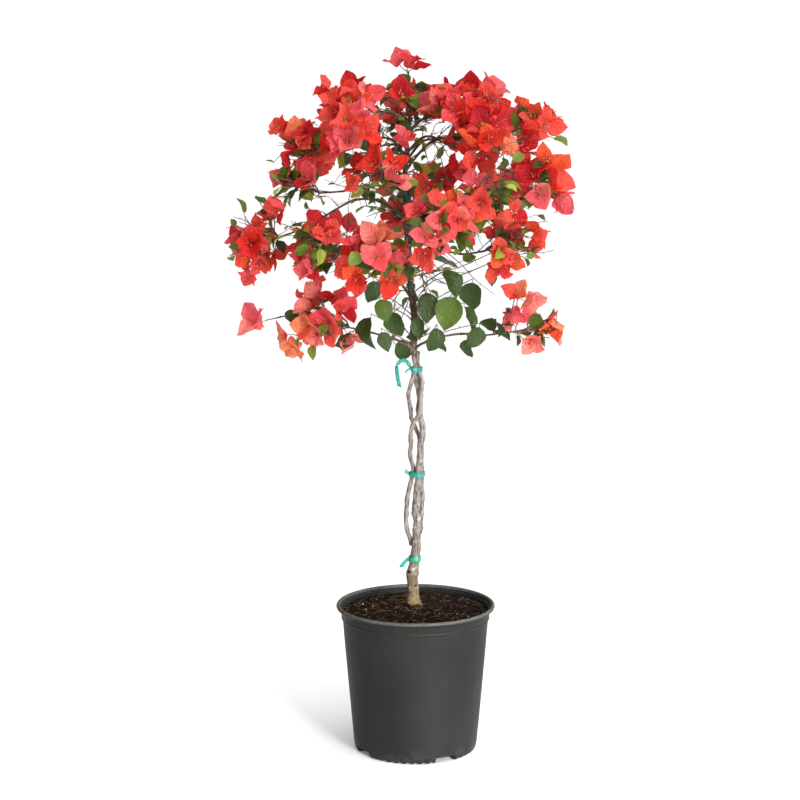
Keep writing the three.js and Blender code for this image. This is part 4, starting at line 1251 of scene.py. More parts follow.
def add_twig(rng, root, end, thick, thin):
    """A twig: from root to end, lifted in its middle, with three kinks of a few millimetres."""
    span = end - root
    length = float(np.linalg.norm(span))
    share = np.array([0, 0.3, 0.62, 1])[:, None]
    line = root + span * share
    line[1:3, 2] += length * np.array([0.1, 0.07]) * rng.uniform(-0.4, 1.6)
    line[1:3] += rng.normal(size=(2, 3)) * min(3.2, length * 0.05)
    path = smooth_path(line, TWIG_STATIONS)
    twigs.append((path, np.linspace(thick, thin, TWIG_STATIONS)))
    return path


def add_leaf(rng, path, share, kind, droop=0.15, size=1.0, turn=None):
    """A leaf on a twig: a stalk stands off at a slant, and the blade goes on, facing out."""
    at = share * (len(path) - 1)
    low = min(int(at), len(path) - 2)
    start = path[low] + (path[low + 1] - path[low]) * (at - low)
    ahead = unit(path[low + 1] - path[low])
    out = outward_at(start)
    turn = rng.uniform(0, 2 * np.pi) if turn is None else turn
    side = unit(np.cross(ahead, (0.3, 0.2, 1)))
    around = math.cos(turn) * side + math.sin(turn) * np.cross(ahead, side)
    way = unit(around + ahead * rng.uniform(0.3, 0.9) + out * 0.45)
    way[2] -= droop
    way = unit(way)
    face = np.array([0, 0, 0.75]) + out * 0.5 + rng.normal(size=3) * 0.4
    length = size * (rng.uniform(40, 60) if kind == "hanging" else 17 + 25 * rng.beta(1.6, 2.0))
    stalk = length * rng.uniform(0.14, 0.26)
    bend = unit(way + ahead * 0.5)
    base = start + bend * stalk
    end = base + way * length
    # Leaves are fewer in the top of the crown and at its lower edge, but not close to the trunk.
    wanted = 1 - 0.75 * smoothstep(900, 1040, start[2]) - 0.7 * smoothstep(930, 860, start[2])
    if math.hypot(start[0] + 10, start[1]) < NEAR_TRUNK:
        wanted = max(wanted, 0.6)
    scarce = kind != "hanging" and rng.uniform() > wanted
    middle = (base + end) / 2
    in_front = kind == "hanging" and middle[1] < 0 and abs(middle[0] + 6) < CLEAR_OF_TRUNK
    if end[2] > LEAF_CEILING or scarce or in_front or out_of_crown(end):
        return
    leaves.append((base, way, unit(face), length, kind))
    stalks.append(([start, start + bend * stalk * 0.5, base], (0.75, 0.55)))


def add_side_twigs(rng, index, paths, count):
    """Fine twigs off the others: each starts part of the way along one and bends up and out."""
    for number in range(count):
        path = paths[rng.integers(len(paths))]
        at = rng.integers(4, TWIG_STATIONS - 1)
        ahead = unit(path[at] - path[at - 1])
        way = unit(unit(rng.normal(size=3)) + 0.8 * ahead + 0.5 * outward_at(path[at]))
        end = path[at] + way * rng.uniform(34, 80) + (0, 0, rng.uniform(-4, 10))
        inside = np.linalg.norm((end - CENTRES[index]) / HALVES[index])
        if room_in(index, end) < -6 or inside > 1.28 or out_of_crown(end):
            continue
        own = add_twig(rng, path[at], end, 0.95, 0.5)
        if number % 4:
            continue
        turn = rng.uniform(0, 2 * np.pi)
        for k, share in enumerate(np.linspace(0.4, 0.95, rng.integers(2, 5))):
            size = rng.uniform(0.5, 0.95)
            add_leaf(rng, own, share, "crown", size=size, turn=turn + k * GOLDEN_TURN)
        if rng.uniform() < 0.5:
            add_leaf(rng, own, 0.99, "young", size=0.55, droop=-0.2)


print("a twig has", TWIG_STATIONS, "stations")

# %% [markdown]
# Flowers stand in bunches of one to three at the end of a twig. Their stalks leave the twig at one
# point and fan out. A flower that would touch another, leave its mass's own space or shut a
# window is left out, and a twig that would carry no flower isn't made.

# %% Bunches of flowers
FLOWERS_APART = 23
NODE_BEHIND = 19  # a bunch's stalks leave the twig this far behind its tip


def add_bunch(rng, index, tip, facing, count, path_start, tint):
    """One to three flowers round a tip, on stalks that fan out from just behind it."""
    if count == 1:
        ways = [np.zeros(3)]
    else:
        side = unit(np.cross(facing, (0.2, 0.1, 1)))
        above = np.cross(facing, side)
        turn = rng.uniform(0, 2 * np.pi)
        turns = turn + np.arange(count) / count * 2 * np.pi
        ways = [math.cos(a) * side + math.sin(a) * above for a in turns]
    node = tip - facing * NODE_BEHIND
    size = rng.uniform(0.74, 1.1) + (0.1 if MASSES[index][0] == "right_edge" else 0)
    placed = 0
    for way in ways:
        facing_own = unit(facing + 0.6 * way + rng.normal(size=3) * 0.12)
        length = size * rng.uniform(34, 42)
        spread = 15.5 if count == 2 else 18.5
        base = tip + way * spread * rng.uniform(0.85, 1.1) - facing_own * rng.uniform(7, 13)
        middle = base + facing_own * 12
        if room_in(index, middle) < -6 or kept_open(rng, middle):
            continue
        if flowers and min(np.linalg.norm(middle - f[5]) for f in flowers) < FLOWERS_APART:
            continue
        opening = rng.choice([22, 30, 40, 52], p=[0.25, 0.35, 0.25, 0.15]) + rng.uniform(-5, 5)
        flowers.append((base, facing_own, length, opening, tint, middle))
        elbow = (node + base) / 2 + facing_own * -1.5 + way * 2
        stalks.append(([node, elbow, base + facing_own * 1.5], (0.8, 0.7)))
        placed += 1
    if placed == 0:
        return 0, None
    path = add_twig(rng, path_start, node, rng.uniform(1.25, 1.6), 0.85)
    leaf_turn = rng.uniform(0, 2 * np.pi)
    for number, share in enumerate(rng.uniform(0.25, 0.75, rng.integers(2, 5))):
        add_leaf(rng, path, share, "crown", turn=leaf_turn + number * GOLDEN_TURN)
    if rng.uniform() < 0.2:
        add_leaf(rng, path, 0.99, "young", size=0.6, droop=-0.2)
    return placed, path


print("a bunch keeps", FLOWERS_APART, "mm from the next flower")

# %% Grow the masses
for index, (name, _, _, wanted, leafy, _, tips) in enumerate(MASSES):
    rng = np.random.default_rng(300 + index)
    bloomed = k = 0
    own_paths = []
    while bloomed < wanted and k < 2 * DIRECTIONS:
        long_tip = k < len(tips)
        reach = None if k < DIRECTIONS else 0.55 + 0.25 * chance(index, k, 1)
        tip = spray_tip(index, k, reach)
        if not long_tip and room_in(index, tip) < 4:
            k += 1
            continue
        count = min(wanted - bloomed, 1 + int(rng.choice(3, p=[0.3, 0.4, 0.3])))
        if long_tip:
            count = 3 if tip[2] < 735 or name == "crown_top" else 1
        tint = tint_for(tip[2], rng)
        facing = spray_facing(index, tip, k)
        placed, path = add_bunch(rng, index, tip, facing, count, spray_root(index, tip), tint)
        if placed:
            own_paths.append(path)
        bloomed += placed
        k += 1
    hanging = wanted == 0
    for j in range(leafy):
        reach = rng.uniform(0.7, 1.0) if hanging else rng.uniform(0.5, 0.95)
        tip = spray_tip(index, k + j, reach)
        if room_in(index, tip) < 2:
            continue
        path = add_twig(rng, spray_root(index, tip), tip, 1.4, 0.7)
        own_paths.append(path)
        turn = rng.uniform(0, 2 * np.pi)
        count = rng.integers(1, 4) if hanging else rng.integers(2, 6)
        for number, share in enumerate(np.linspace(1.0, 0.4, count)):
            if hanging and number == 0:
                add_leaf(rng, path, share, "hanging", 0.75, turn=turn)
            else:
                size = 0.95 if hanging else 1.0
                add_leaf(rng, path, share, "crown", size=size, turn=turn + number * GOLDEN_TURN)
    more = 18 if CENTRES[index][2] < 1000 else 2
    add_side_twigs(rng, index, own_paths, more + wanted + leafy)
print("the masses have", len(flowers), "flowers")

# %% [markdown]
# ## Shoots between the masses
#
# Masses alone would leave the trunk and the boughs bare between them. Old wood carries short
# leafy spurs, and long thin whips that have grown in a year. The extra flowering shoots and the
# big leaves by the trunk are listed one by one, because they are what the eye goes to first.


# %% Shoots from the trunk
def add_spur(rng, start, way, length, kind="crown"):
    """A short shoot from old wood, with one to three leaves."""
    path = add_twig(rng, start, start + way * length, 0.95, 0.5)
    turn = rng.uniform(0, 2 * np.pi)
    count = rng.integers(1, 3) if kind == "hanging" else rng.integers(1, 4)
    for number, share in enumerate(np.linspace(1.0, 0.4, count)):
        droop = 0.7 if kind == "hanging" else 0.1
        size = 0.72 if kind == "hanging" else rng.uniform(0.55, 1.0)
        add_leaf(rng, path, share, kind, droop, size=size, turn=turn + number * GOLDEN_TURN)


TRUNK_SPURS = 34
rng = np.random.default_rng(400)
for height in np.linspace(862, 1128, TRUNK_SPURS) + rng.uniform(-5, 5, TRUNK_SPURS):
    to_right = 935 < height < 1015
    turn = rng.uniform(-0.9, 0.9) if to_right else rng.uniform(0, 2 * np.pi)
    way = unit([math.cos(turn), math.sin(turn), rng.uniform(0.2, 0.5 if to_right else 1.1)])
    length = rng.uniform(22, 74) * (1.3 if to_right else 1)
    add_spur(rng, strand_centre("trunk", height), way, length)
print(TRUNK_SPURS, "spurs on the trunk")

# %% Extra flowering shoots
# Tips of shoots and their number of flowers: inside the crown, and round its edges.
INNER_TIPS = [((44, -58, 1068), 2), ((76, -70, 1030), 3), ((104, -60, 1012), 2)]
INNER_TIPS += [((28, -52, 984), 2), ((-34, -60, 1060), 2), ((-30, 20, 1010), 2)]
INNER_TIPS += [((56, 30, 1000), 2)]
OUTER_TIPS = [((-304, -24, 866), 2), ((-276, -40, 850), 3), ((-300, -30, 896), 2)]
OUTER_TIPS += [((-250, -54, 872), 2), ((8, -196, 948), 2), ((46, -200, 956), 2)]
OUTER_TIPS += [((38, -206, 916), 1), ((72, -190, 932), 2), ((106, -160, 958), 2)]
OUTER_TIPS += [((146, -150, 950), 2), ((132, -120, 915), 1), ((-162, -70, 756), 2)]
OUTER_TIPS += [((-188, -66, 742), 2), ((-136, -66, 772), 2), ((176, -36, 786), 2)]
OUTER_TIPS += [((160, -36, 768), 1), ((224, -44, 754), 2), ((240, -30, 744), 1)]


def add_shoot(rng, index, tip, count, root, forwards, spread):
    """A bunch that faces out of the crown, forwards by a share, and aside by chance."""
    facing = unit(outward_at(tip) + (0, -forwards, 0) + rng.normal(size=3) * spread)
    add_bunch(rng, index, tip, facing, count, root, tint_for(tip[2], rng))


for tip, count in INNER_TIPS:
    tip = np.array(tip, float)
    index = int((((tip - CENTRES) ** 2).sum(1) - REACHES**2).argmin())
    add_shoot(rng, index, tip, count, strand_centre("trunk", tip[2] - 46), 0.6, 0.4)
for tip, count in OUTER_TIPS:
    tip = np.array(tip, float)
    index = int(np.linalg.norm((tip - CENTRES) / HALVES, axis=1).argmin())
    add_shoot(rng, index, tip, count, spray_root(index, tip), 0.8, 0.5)
print("with the extra shoots there are", len(flowers), "flowers")

# %% Spurs and whips on the boughs
# A spur is short and leafy. A whip is a long thin shoot of the year, with two small leaves.
ALONG_BOUGH = np.arange(8, 38)
for index, (name, *_) in enumerate(MASSES):
    if "bough_" + name not in bough_nodes:
        continue
    path = smooth_path(bough_path(index), 40)
    low_bough = name in ("low_left", "low_right")
    for at in rng.choice(ALONG_BOUGH, 5 if low_bough else 3, replace=False):
        ahead = unit(path[at + 1] - path[at])
        way = unit(unit(rng.normal(size=3)) + (0, 0, 0.5) + 0.4 * ahead)
        kind = "hanging" if low_bough and rng.uniform() < 0.6 else "crown"
        add_spur(rng, path[at], way, rng.uniform(10, 40), kind)
    for at in rng.choice(ALONG_BOUGH, 0 if low_bough else 4, replace=False):
        ahead = unit(path[at + 1] - path[at])
        way = unit(0.8 * unit(rng.normal(size=3)) + 0.7 * ahead + (0, 0, 0.1))
        end = path[at] + way * rng.uniform(60, 120)
        if out_of_crown(end):
            continue
        whip = add_twig(rng, path[at], end, 1.0, 0.45)
        for share in rng.uniform(0.3, 1, 2):
            add_leaf(rng, whip, share, "crown", size=rng.uniform(0.5, 0.85))
print(len(twigs), "twigs so far")

# %% Low leaves
# Big leaves that hang by the trunk: middle, length, lean of the tip, way the blade looks
LOW_LEAVES = [
    ((54, -62, 772), 60, -0.3, -0.1),
    ((19, -52, 780), 54, 0.05, 0.3),
    ((31, -50, 724), 46, -0.2, 0.5),
    ((5, -44, 744), 36, 0.1, -0.4),
    ((98, -40, 728), 42, -0.5, 0.7),
    ((90, -34, 758), 48, 0.4, 1.8),
    ((92, -60, 800), 50, -0.1, -0.5),
    ((126, -50, 834), 34, 0.05, 0.6),
    ((142, -34, 852), 38, 0.3, 1.4),
    ((-55, -44, 774), 42, 0.3, 0.3),
    ((-80, -36, 734), 58, -0.15, -1.6),
    ((-34, -42, 750), 46, 0.25, -0.6),
    ((-74, -32, 804), 40, -0.1, 0.6),
    ((-52, -44, 722), 36, 0.4, 0.4),
]
LOWEST_SHOOT = 704
for middle, length, lean, look in LOW_LEAVES:
    way = unit(np.array([lean, -0.12, -1.0]))
    base = np.array(middle, float) - way * length / 2
    rise = 6 + 0.45 * math.hypot(base[0] + 6, base[1])
    root = strand_centre("trunk", max(base[2] - rise, LOWEST_SHOOT))
    path = add_twig(rng, root, base + (0, 5, 6), 1.3, 0.75)
    stalks.append(([path[-1], (path[-1] + base) / 2 + (0, 0, 1.2), base], (0.75, 0.6)))
    leaves.append((base, way, unit(np.array([look, -1.0, 0.4])), length, "hanging"))
print(len(flowers), "flowers,", len(leaves), "leaves on", len(twigs), "twigs")

# %% [markdown]
# All twigs have the same number of stations, so they are one array and one call. Thorns stand at
# three places on each twig and lean towards its tip.

# %% Twigs, thorns and stalks
twig_paths = np.array([path for path, _ in twigs])
twig_radii = np.array([radius for _, radius in twigs])
rng = np.random.default_rng(77)
twig_radii = twig_radii * (1 + 0.14 * rng.normal(size=twig_radii.shape))

thorn_root = twig_paths[:, 2:7:2].reshape(-1, 3)
thorn_way = np.gradient(twig_paths, axis=1)[:, 2:7:2].reshape(-1, 3)
thorn_way = unit(unit(thorn_way) * 0.5 + unit(rng.normal(size=thorn_way.shape)))
thorn = thorn_way * rng.uniform(4, 9, (len(thorn_root), 1))
thorn_paths = np.stack([thorn_root, thorn_root + thorn * 0.5, thorn_root + thorn], 1)
thorn_tubes = tubes(thorn_paths, np.array([0.7, 0.45, 0.12]), 4)

twig_wood = two_tone(
    "twig_wood", paint(72, 54, 42), paint(136, 114, 92), (22.0, 3.0, 0.38, 0.62),
    (PATCHES, {"Scale": 1200.0}, 0.5, 0.0005), Roughness=0.8, Specular_IOR_Level=0.35,
)
green_shoot = two_tone(
    "green_shoot", paint(112, 122, 58), paint(146, 112, 70), (18.0, 2.0, 0.4, 0.6),
    (PATCHES, {"Scale": 900.0}, 0.3, 0.0004), Roughness=0.55,
)
ALL_FOLIAGE = ["foliage_" + mass[0] for mass in MASSES]
twig_shapes = [tubes(twig_paths, twig_radii, 6), thorn_tubes]
make_piece("twigs", twig_shapes, twig_wood, "bark", ALL_FOLIAGE)

stalk_paths = np.array([smooth_path(points, 4) for points, _ in stalks])
stalk_radii = np.array([np.linspace(*radii, 4) for _, radii in stalks])
make_piece("stalks", [tubes(stalk_paths, stalk_radii, 5)], green_shoot, "leaves", ALL_FOLIAGE)

# %% [markdown]
# ## The bracts
#
# What looks like a petal is a bract, a coloured leaf as thin as paper. Three of them stand in a
# ring round three tiny tube flowers. A bract is a surface of u, along its midrib, and v, across
# it. The midrib starts out flat, turns up into a lantern, and leans open again at its tip. A
# flat petal with a picture on it would be quicker, but it would look like one from the side. The
# width is a short row of shares, with round shoulders and a small point, and the sheet is cupped,
# folded, pleated and waved, each by its own chance. All bracts of a tint are one mesh with one
# plain base colour.


# %% Bract surface
def blades(base, ahead_of_row, face_of_row, side, length, half_width, u, v, outline, shape):
    """Sheets of u x v: midrib point + side x (v x width) + face x shape, for many sheets at once.

    The midrib is the running sum of the way ahead at each row, times the length of each step.
    """
    step = np.diff(u) * length[:, None]
    middle_way = (ahead_of_row[:, 1:] + ahead_of_row[:, :-1]) / 2
    midrib = np.cumsum(middle_way * step[..., None], 1)
    midrib = base[:, None] + np.concatenate([np.zeros_like(midrib[:, :1]), midrib], 1)
    width = half_width[:, None] * outline
    reach = width[..., None] * v
    return (
        midrib[:, :, None]
        + reach[..., None] * side[:, None, None]
        + (shape * half_width[:, None, None])[..., None] * face_of_row[:, :, None]
    )


# Places along the sheet and across it, and the share of the full width at each place along it.
BRACT_U = np.array([0, 0.06, 0.16, 0.3, 0.46, 0.62, 0.76, 0.89, 1.0])
BRACT_V = np.linspace(-1, 1, 7)
bract_outline = np.array([0.1, 0.52, 0.85, 1.0, 1.0, 0.88, 0.66, 0.34, 0.02])
THIRDS = [0, 2.094, 4.189]  # three bracts, a third of a turn apart
FLAT_ROOT = 74


def sheet_places(u, v):
    """The flat (u, v) place of each point of a sheet: across it from 0 to 1, and along it."""
    across, along = np.meshgrid((v + 1) / 2, u)
    return np.stack([across, along], -1).reshape(-1, 2)


def bract_sheets(group, seed):
    """Three bracts for each flower of a group, with their roots and the two ways they stand in.

    The lean from the flower's axis is 74 degrees at the root, falls to the flower's own opening
    within an eighth of the length, and grows again with the square of u.
    """
    rng = np.random.default_rng(seed)
    count = len(group)
    base, facing = (np.repeat(np.array([f[i] for f in group]), 3, 0) for i in (0, 1))
    length, opening = (np.repeat(np.array([f[i] for f in group]), 3) for i in (2, 3))
    spin = np.repeat(rng.uniform(0, 2 * np.pi, count), 3) + np.tile(THIRDS, count)
    spin = spin + rng.uniform(-0.14, 0.14, 3 * count)
    first = unit(np.cross(facing, (0.31, 0.2, 0.93)))
    radial = np.cos(spin)[:, None] * first + np.sin(spin)[:, None] * np.cross(facing, first)
    side = np.cross(facing, radial)
    length = length * rng.uniform(0.9, 1.08, 3 * count)
    open_now = (opening + rng.uniform(-9, 9, 3 * count))[:, None]
    tip_more = rng.uniform(8, 62, 3 * count)[:, None]
    lean = open_now + (FLAT_ROOT - open_now) * np.exp(-BRACT_U / 0.12) + tip_more * BRACT_U**2.2
    lean = np.radians(lean)[..., None]
    ahead = np.sin(lean) * radial[:, None] + np.cos(lean) * facing[:, None]
    face = np.sin(lean) * facing[:, None] - np.cos(lean) * radial[:, None]
    across = BRACT_V[None, None, :]
    rows = BRACT_U[None, :, None]
    draw = rng.uniform(0, 1, (9, 3 * count, 1, 1))
    cup = (-0.12 + 0.42 * draw[0]) * across**2
    fold = (0.66 * draw[6] - 0.16) * np.abs(across)
    wave = 0.32 * (0.4 + draw[2]) * np.abs(across) ** 2.0
    wave = wave * np.sin(2 * np.pi * (1.35 * rows + draw[3]) + 1.9 * np.sign(across) * draw[4])
    twist = 0.5 * (draw[5] - 0.5) * across * rows
    pleat = (0.05 + 0.14 * draw[1]) * np.cos(3 * np.pi * across) * np.sin(np.pi * rows) ** 0.5
    crumple = np.sin(2 * np.pi * (1.7 * rows + draw[7])) * np.cos(2.6 * across + 6 * draw[8])
    shape = cup + fold + wave + twist + pleat + 0.09 * crumple
    shape = shape * bract_outline[None, :, None]
    half_width = length * rng.uniform(0.38, 0.47, 3 * count)
    start = base + radial * 1.3
    points = blades(
        start, ahead, face, side, length, half_width, BRACT_U, BRACT_V, bract_outline, shape
    )
    return points.reshape(3 * count, -1, 3), start, radial, facing


def thin_material(name, colour, through, glow, gloss, roughness, veins):
    """A thin sheet that shines by `gloss`, mixed by `glow` with light that comes through it.

    `veins` is the number and slant of the side veins and the depth of their bump. A coarser
    crinkle, three times as deep, lies on them.
    """
    material, tree, shader = new_material(
        name, Base_Color=colour, Roughness=roughness, Specular_IOR_Level=gloss
    )
    number, slant, depth = veins
    ribs = height_of(tree, VEINS, Number=number, Slant=slant)
    ribbed = roughen(tree, shader, ribs, 1.0, depth)
    crinkle = height_of(tree, PATCHES, Scale=130.0, Detail=4.0)
    crinkled = roughen(tree, shader, crinkle, 0.6, depth * 3, ribbed)
    behind = add_node(tree, "BsdfTranslucent", {"Color": through, "Normal": crinkled})
    mix = add_node(tree, "MixShader", {0: glow, 1: shader.outputs[0], 2: behind.outputs[0]})
    tree.links.new(mix.outputs[0], tree.nodes["Material Output"].inputs["Surface"])
    return material


print("a bract has", grid_faces(len(BRACT_U), len(BRACT_V)).shape[0], "faces")

# %% Bracts, tint by tint
OWN_TINT = 0.55  # the share of a bunch's bracts that keep its own tint
bract_points, start, radial, facing = bract_sheets(flowers, 500)
bract_faces, bract_places = grid_faces(len(BRACT_U), len(BRACT_V)), sheet_places(BRACT_U, BRACT_V)
rng = np.random.default_rng(501)
bract_tints = np.array(
    [
        flower[4] if rng.uniform() < OWN_TINT else NEAR_TINTS[flower[4]][rng.integers(3)]
        for flower in flowers
        for _ in range(3)
    ]
)
for tint, shade in BLOOM_TINTS.items():
    through = paint(*shade, lift=1.15)
    paper = thin_material(
        "bract_" + tint, paint(*shade), through, 0.34, 0.15, 0.5, (5.0, 4.0, 0.0022)
    )
    sheets = repeated(bract_points[bract_tints == tint], bract_faces, bract_places)
    make_piece("bracts_" + tint, [sheets], paper, "bracts", ALL_FOLIAGE)

# %% Tube flowers
tall = rng.uniform(9, 14, (len(start), 1))
stand = facing + radial * rng.uniform(0.1, 0.35, (len(start), 1))
tube_paths = np.stack([start, start + stand * tall * 0.5, start + unit(stand) * tall], 1)
flower_tube = two_tone(
    "flower_tube", paint(206, 70, 66), paint(214, 128, 96), (60.0, 2.0, 0.4, 0.6), Roughness=0.5
)
tube_shapes = [tubes(tube_paths, np.array([0.6, 0.8, 1.1]), 6)]
make_piece("tube_flowers", tube_shapes, flower_tube, "bracts", ALL_FOLIAGE)

# %% [markdown]
# ## The leaves
#
# A leaf is the same kind of sheet, folded a little along its midrib and bent down towards its
# tip. Its outline is widest a third of the way along and runs out into a point. Leaves are dealt
# into shades by age: pale at the ends of shoots, deep and large near the trunk.

# %% Leaf surface
# Places along a leaf and across it, and the share of its full width at each place along it.
LEAF_U = np.array([0, 0.06, 0.18, 0.34, 0.5, 0.66, 0.8, 0.91, 1.0])
LEAF_V = np.array([-1, -0.55, 0, 0.55, 1.0])
leaf_outline = np.array([0.07, 0.52, 0.88, 1.0, 0.94, 0.76, 0.48, 0.2, 0.02])


def leaf_sheets(group, seed):
    """A sheet for each leaf: the way ahead turns down by up to 56 degrees along it."""
    rng = np.random.default_rng(seed)
    count = len(group)
    base, way, face = (np.array([leaf[i] for leaf in group]) for i in (0, 1, 2))
    length = np.array([leaf[3] for leaf in group])
    face = unit(face - (face * way).sum(-1, keepdims=True) * way)
    side = np.cross(face, way)
    bend = np.radians(rng.uniform(-6, 56, count))[:, None] * LEAF_U**1.3
    ahead = np.cos(bend)[..., None] * way[:, None] - np.sin(bend)[..., None] * face[:, None]
    up = np.cos(bend)[..., None] * face[:, None] + np.sin(bend)[..., None] * way[:, None]
    across = LEAF_V[None, None, :]
    draw = rng.uniform(0, 1, (3, count, 1, 1))
    fold = (0.12 + 0.5 * draw[0]) * np.abs(across)
    wave = 0.13 * across**2 * np.sin(2 * np.pi * (1.6 * LEAF_U[None, :, None] + draw[1]))
    shape = (fold + wave) * leaf_outline[None, :, None]
    hanging = np.array([leaf[4] == "hanging" for leaf in group])
    half_width = length * np.where(hanging, 0.38, 0.34) * rng.uniform(0.9, 1.12, count)
    points = blades(
        base, ahead, up, side, length, half_width, LEAF_U, LEAF_V, leaf_outline, shape
    )
    faces, places = grid_faces(len(LEAF_U), len(LEAF_V)), sheet_places(LEAF_U, LEAF_V)
    return repeated(points.reshape(count, -1, 3), faces, places)


print("a leaf has", grid_faces(len(LEAF_U), len(LEAF_V)).shape[0], "faces")

# %% Leaves, shade by shade
LEAF_TINTS = {
    "deep": (46, 68, 20),
    "forest": (76, 100, 26),
    "mid": (102, 126, 34),
    "fresh": (138, 156, 48),
    "lime": (164, 176, 68),
}
AGE_SHARES = {  # how often each of the five shades is dealt
    "young": (0, 0, 2, 4, 4),
    "crown": (3, 5, 4, 2, 1),
    "low": (5, 4, 2, 0, 0),
    "hanging": (8, 2, 0, 0, 0),
}
rng = np.random.default_rng(88)
dealt = {tint: [] for tint in LEAF_TINTS}
for leaf in leaves:
    base, kind = leaf[0], leaf[4]
    shares = np.array(AGE_SHARES["low" if kind == "crown" and base[2] < 840 else kind])
    dealt[list(LEAF_TINTS)[rng.choice(len(shares), p=shares / shares.sum())]].append(leaf)
for number, (tint, shade) in enumerate(LEAF_TINTS.items()):
    through = paint(*(min(255, channel + 34) for channel in shade))
    blade = thin_material(
        "leaf_" + tint, paint(*shade), through, 0.24, 0.4, 0.38, (6.0, 5.0, 0.0013)
    )
    sheets = leaf_sheets(dealt[tint], 700 + number)
    make_piece("leaves_" + tint, [sheets], blade, "leaves", ALL_FOLIAGE)

# %% [markdown]
# ## The ties
#
# Stretchy teal tape holds the stems together. A tape pulled tight round several rods takes the
# outline that a ruler would feel: in every direction, the farthest reach of any of them. Where
# the straight lines of neighbouring directions meet is a corner of that outline. A small
# rectangle carried round it is the tape. The loose tails are ribbons carried along a curve.


# %% Tape
TAPE_WIDTH, TAPE_THICK = 9.0, 0.8
TAIL_STATIONS = 22


def tape_outline(height, names, away, columns=72):
    """Corners of the tight outline: where the tangent lines of neighbouring directions cross."""
    angle = np.arange(columns) / columns * 2 * np.pi
    way = np.stack([np.cos(angle), np.sin(angle)])
    reach = np.full(columns, -1e9)
    for name in names:
        for share in (-1, -0.5, 0, 0.5, 1):
            at = height + share * (TAPE_WIDTH / 2 + 1)
            hold = strand_centre(name, at)[:2] @ way + strand_girth(name, at)
            reach = np.maximum(reach, hold + away)
    step = angle[1]
    after = np.roll(reach, -1)
    x = (reach * np.sin(angle + step) - after * np.sin(angle)) / math.sin(step)
    y = (after * np.cos(angle) - reach * np.cos(angle + step)) / math.sin(step)
    return np.stack([x, y], -1)


def tape_band(height, names, seed):
    """The closed band: a flat ring section whose edges ripple by sines round the stem."""
    outline = tape_outline(height, names, 0.75)
    middle = outline.mean(0)
    out = unit(outline - middle)
    columns = len(outline)
    turn = np.arange(columns) / columns * 2 * np.pi
    ripple = 0.5 * np.sin(3 * turn + seed) + 0.3 * np.sin(7 * turn + 2 * seed)
    section = np.array(
        [(0, -1), (0.5, -0.97), (1, -0.9), (1.15, -0.4), (0.9, 0), (1.2, 0.45), (1, 0.9)]
        + [(0.5, 0.97), (0, 1), (0, 0.5), (0, 0), (0, -0.5)]
    )
    crease = 1 + 0.25 * np.sin(11 * turn + seed)
    rise = height + section[:, 1, None] * TAPE_WIDTH / 2 + ripple
    outwards = section[:, 0, None] * TAPE_THICK * crease
    flat = outline + out * outwards[..., None]
    points = np.concatenate([flat, rise[..., None]], -1)
    rows = len(section)
    faces = grid_faces(rows + 1, columns, around=True) % (rows * columns)
    return points.reshape(-1, 3), faces, np.zeros((rows * columns, 2))


def tape_tail(route, width, side, knot):
    """A ribbon: a thin rectangle square to the route, narrow at the knot and cut on a slant."""
    path = smooth_path(np.array(route, float) + knot, TAIL_STATIONS)[None]
    ahead = unit(np.gradient(path, axis=1))[0]
    across = unit(np.array(side, float) - (ahead @ np.array(side, float))[:, None] * ahead)
    above = np.cross(ahead, across)
    t = np.linspace(0, 1, TAIL_STATIONS)[:, None, None]
    corner = np.array([(1, 0.5), (0.5, 0.8), (0, 0.6), (-0.5, 0.8), (-1, 0.5)])
    corner = np.concatenate([corner, corner[::-1] * (1, -1)])
    spread = np.minimum(1, 0.3 + 5 * t)
    wide = corner[:, 0, None] * width / 2 * spread
    thick = corner[:, 1, None] * 0.35
    cut = smoothstep(0.86, 1, t) * corner[:, 0, None] * width * 0.35
    curl = 0.5 * np.sin(9 * t + 1)
    rings = (
        path[0][:, None]
        + wide * across[:, None]
        + (thick + curl * np.abs(corner[:, 0, None]) ** 2) * above[:, None]
        + cut * ahead[:, None]
    )
    return closed_rings(rings)


print("tape tools are ready")

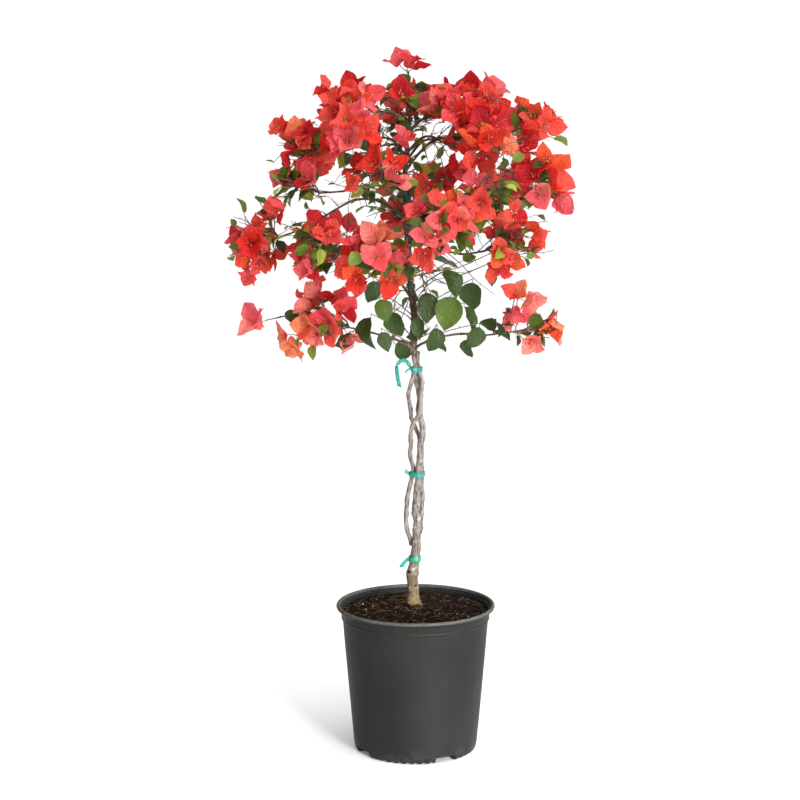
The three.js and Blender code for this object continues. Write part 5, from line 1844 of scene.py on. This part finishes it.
# %% Ties
arch = np.radians(20 + np.arange(6) / 5 * 160)
arched = [(0.2, -0.2, 0)]
arched += [
    (-13.5 + 11 * math.cos(a), -2 - i * 0.5, 3 + 13 * math.sin(a)) for i, a in enumerate(arch)
]
arched += [(-23, -5, -12), (-20, -5, -29)]
TAILS = {  # tie: (width, side, from the front?, route from the knot)
    0: [(7, (0.4, 0, 1), False, [(1, -1, 0), (-4, -3, -2), (-9, -4, -8), (-13, -4, -15)])],
    1: [(6, (0.1, 0, 1), False, [(0.8, -0.6, 1), (-3, -2, 3), (-8, -3, 7)])],
    2: [
        (6.5, (0.3, 0, 1), False, arched),
        (3, (0, 0, 1), False, [(0.8, -0.5, 0), (-4, -4, 1), (-10, -6, -5)]),
    ],
    4: [(6, (1, 0.1, 0), True, [(-1, 0.1, 0), (0, -1.6, -5), (4, -2.6, -14), (8, -2.8, -26)])],
}


def tape_finish(name, fresh, wear_and_shade):
    """Satin tape with a fine crinkle, a little paler where it is stretched."""
    relief = (STREAKS, {"Scale": 260.0, "Stretch": 3.0}, 0.5, 0.0012)
    patch = (170.0, 4.0, 0.35, 0.65)
    return two_tone(name, fresh, wear_and_shade, patch, relief, Roughness=0.42, Specular_IOR_Level=0.5)


bright_tape = tape_finish("tape_bright", paint(6, 112, 98), paint(16, 130, 113))
shaded_tape = tape_finish("tape_shaded", paint(6, 78, 72), paint(10, 92, 84))
for number, height in enumerate(TIES):
    names = list(STRANDS) if number in (1, 2) else ["trunk"]
    shapes = [tape_band(height, names, number + 1.0)]
    outline = tape_outline(height, names, 1.1)
    for width, side, in_front, route in TAILS.get(number, []):
        spot = outline[outline[:, 1].argmin() if in_front else outline[:, 0].argmin()]
        shapes.append(tape_tail(route, width, side, np.array([*spot, height])))
    tape = bright_tape if number < 3 else shaded_tape
    make_piece(f"tape_{number + 1}", shapes, tape, "tie_tape", [f"tie_{number + 1}"])

# %% [markdown]
# ## Which light falls on what
#
# The key light is linked to the plant and its pot alone, so that it throws no second shadow on
# the floor. The fill is linked to bracts, tube flowers and leaves: it brings out the colour of
# the thin sheets without turning the dark wood and the pot grey.

# %% Light linking
plant, crown = bpy.data.collections.new("plant"), bpy.data.collections.new("crown")
for piece in scene.objects:
    if piece.type == "MESH" and piece is not floor:
        plant.objects.link(piece)
        if piece.name.startswith(("bracts", "leaves", "tube")):
            crown.objects.link(piece)
key.light_linking.receiver_collection = plant
fill.light_linking.receiver_collection = crown

# %% [markdown]
# ## Does the dressed plant still fit?
#
# The dressed plant has to fill the same box as the solids, so both boxes are printed at the end.

# %% Sizes, and the end
low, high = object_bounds()
boxes = {
    "cad_low": [round(v, 5) for v in cad_low],
    "cad_high": [round(v, 5) for v in cad_high],
    "visual_low": [round(v, 5) for v in low],
    "visual_high": [round(v, 5) for v in high],
}
print(boxes)
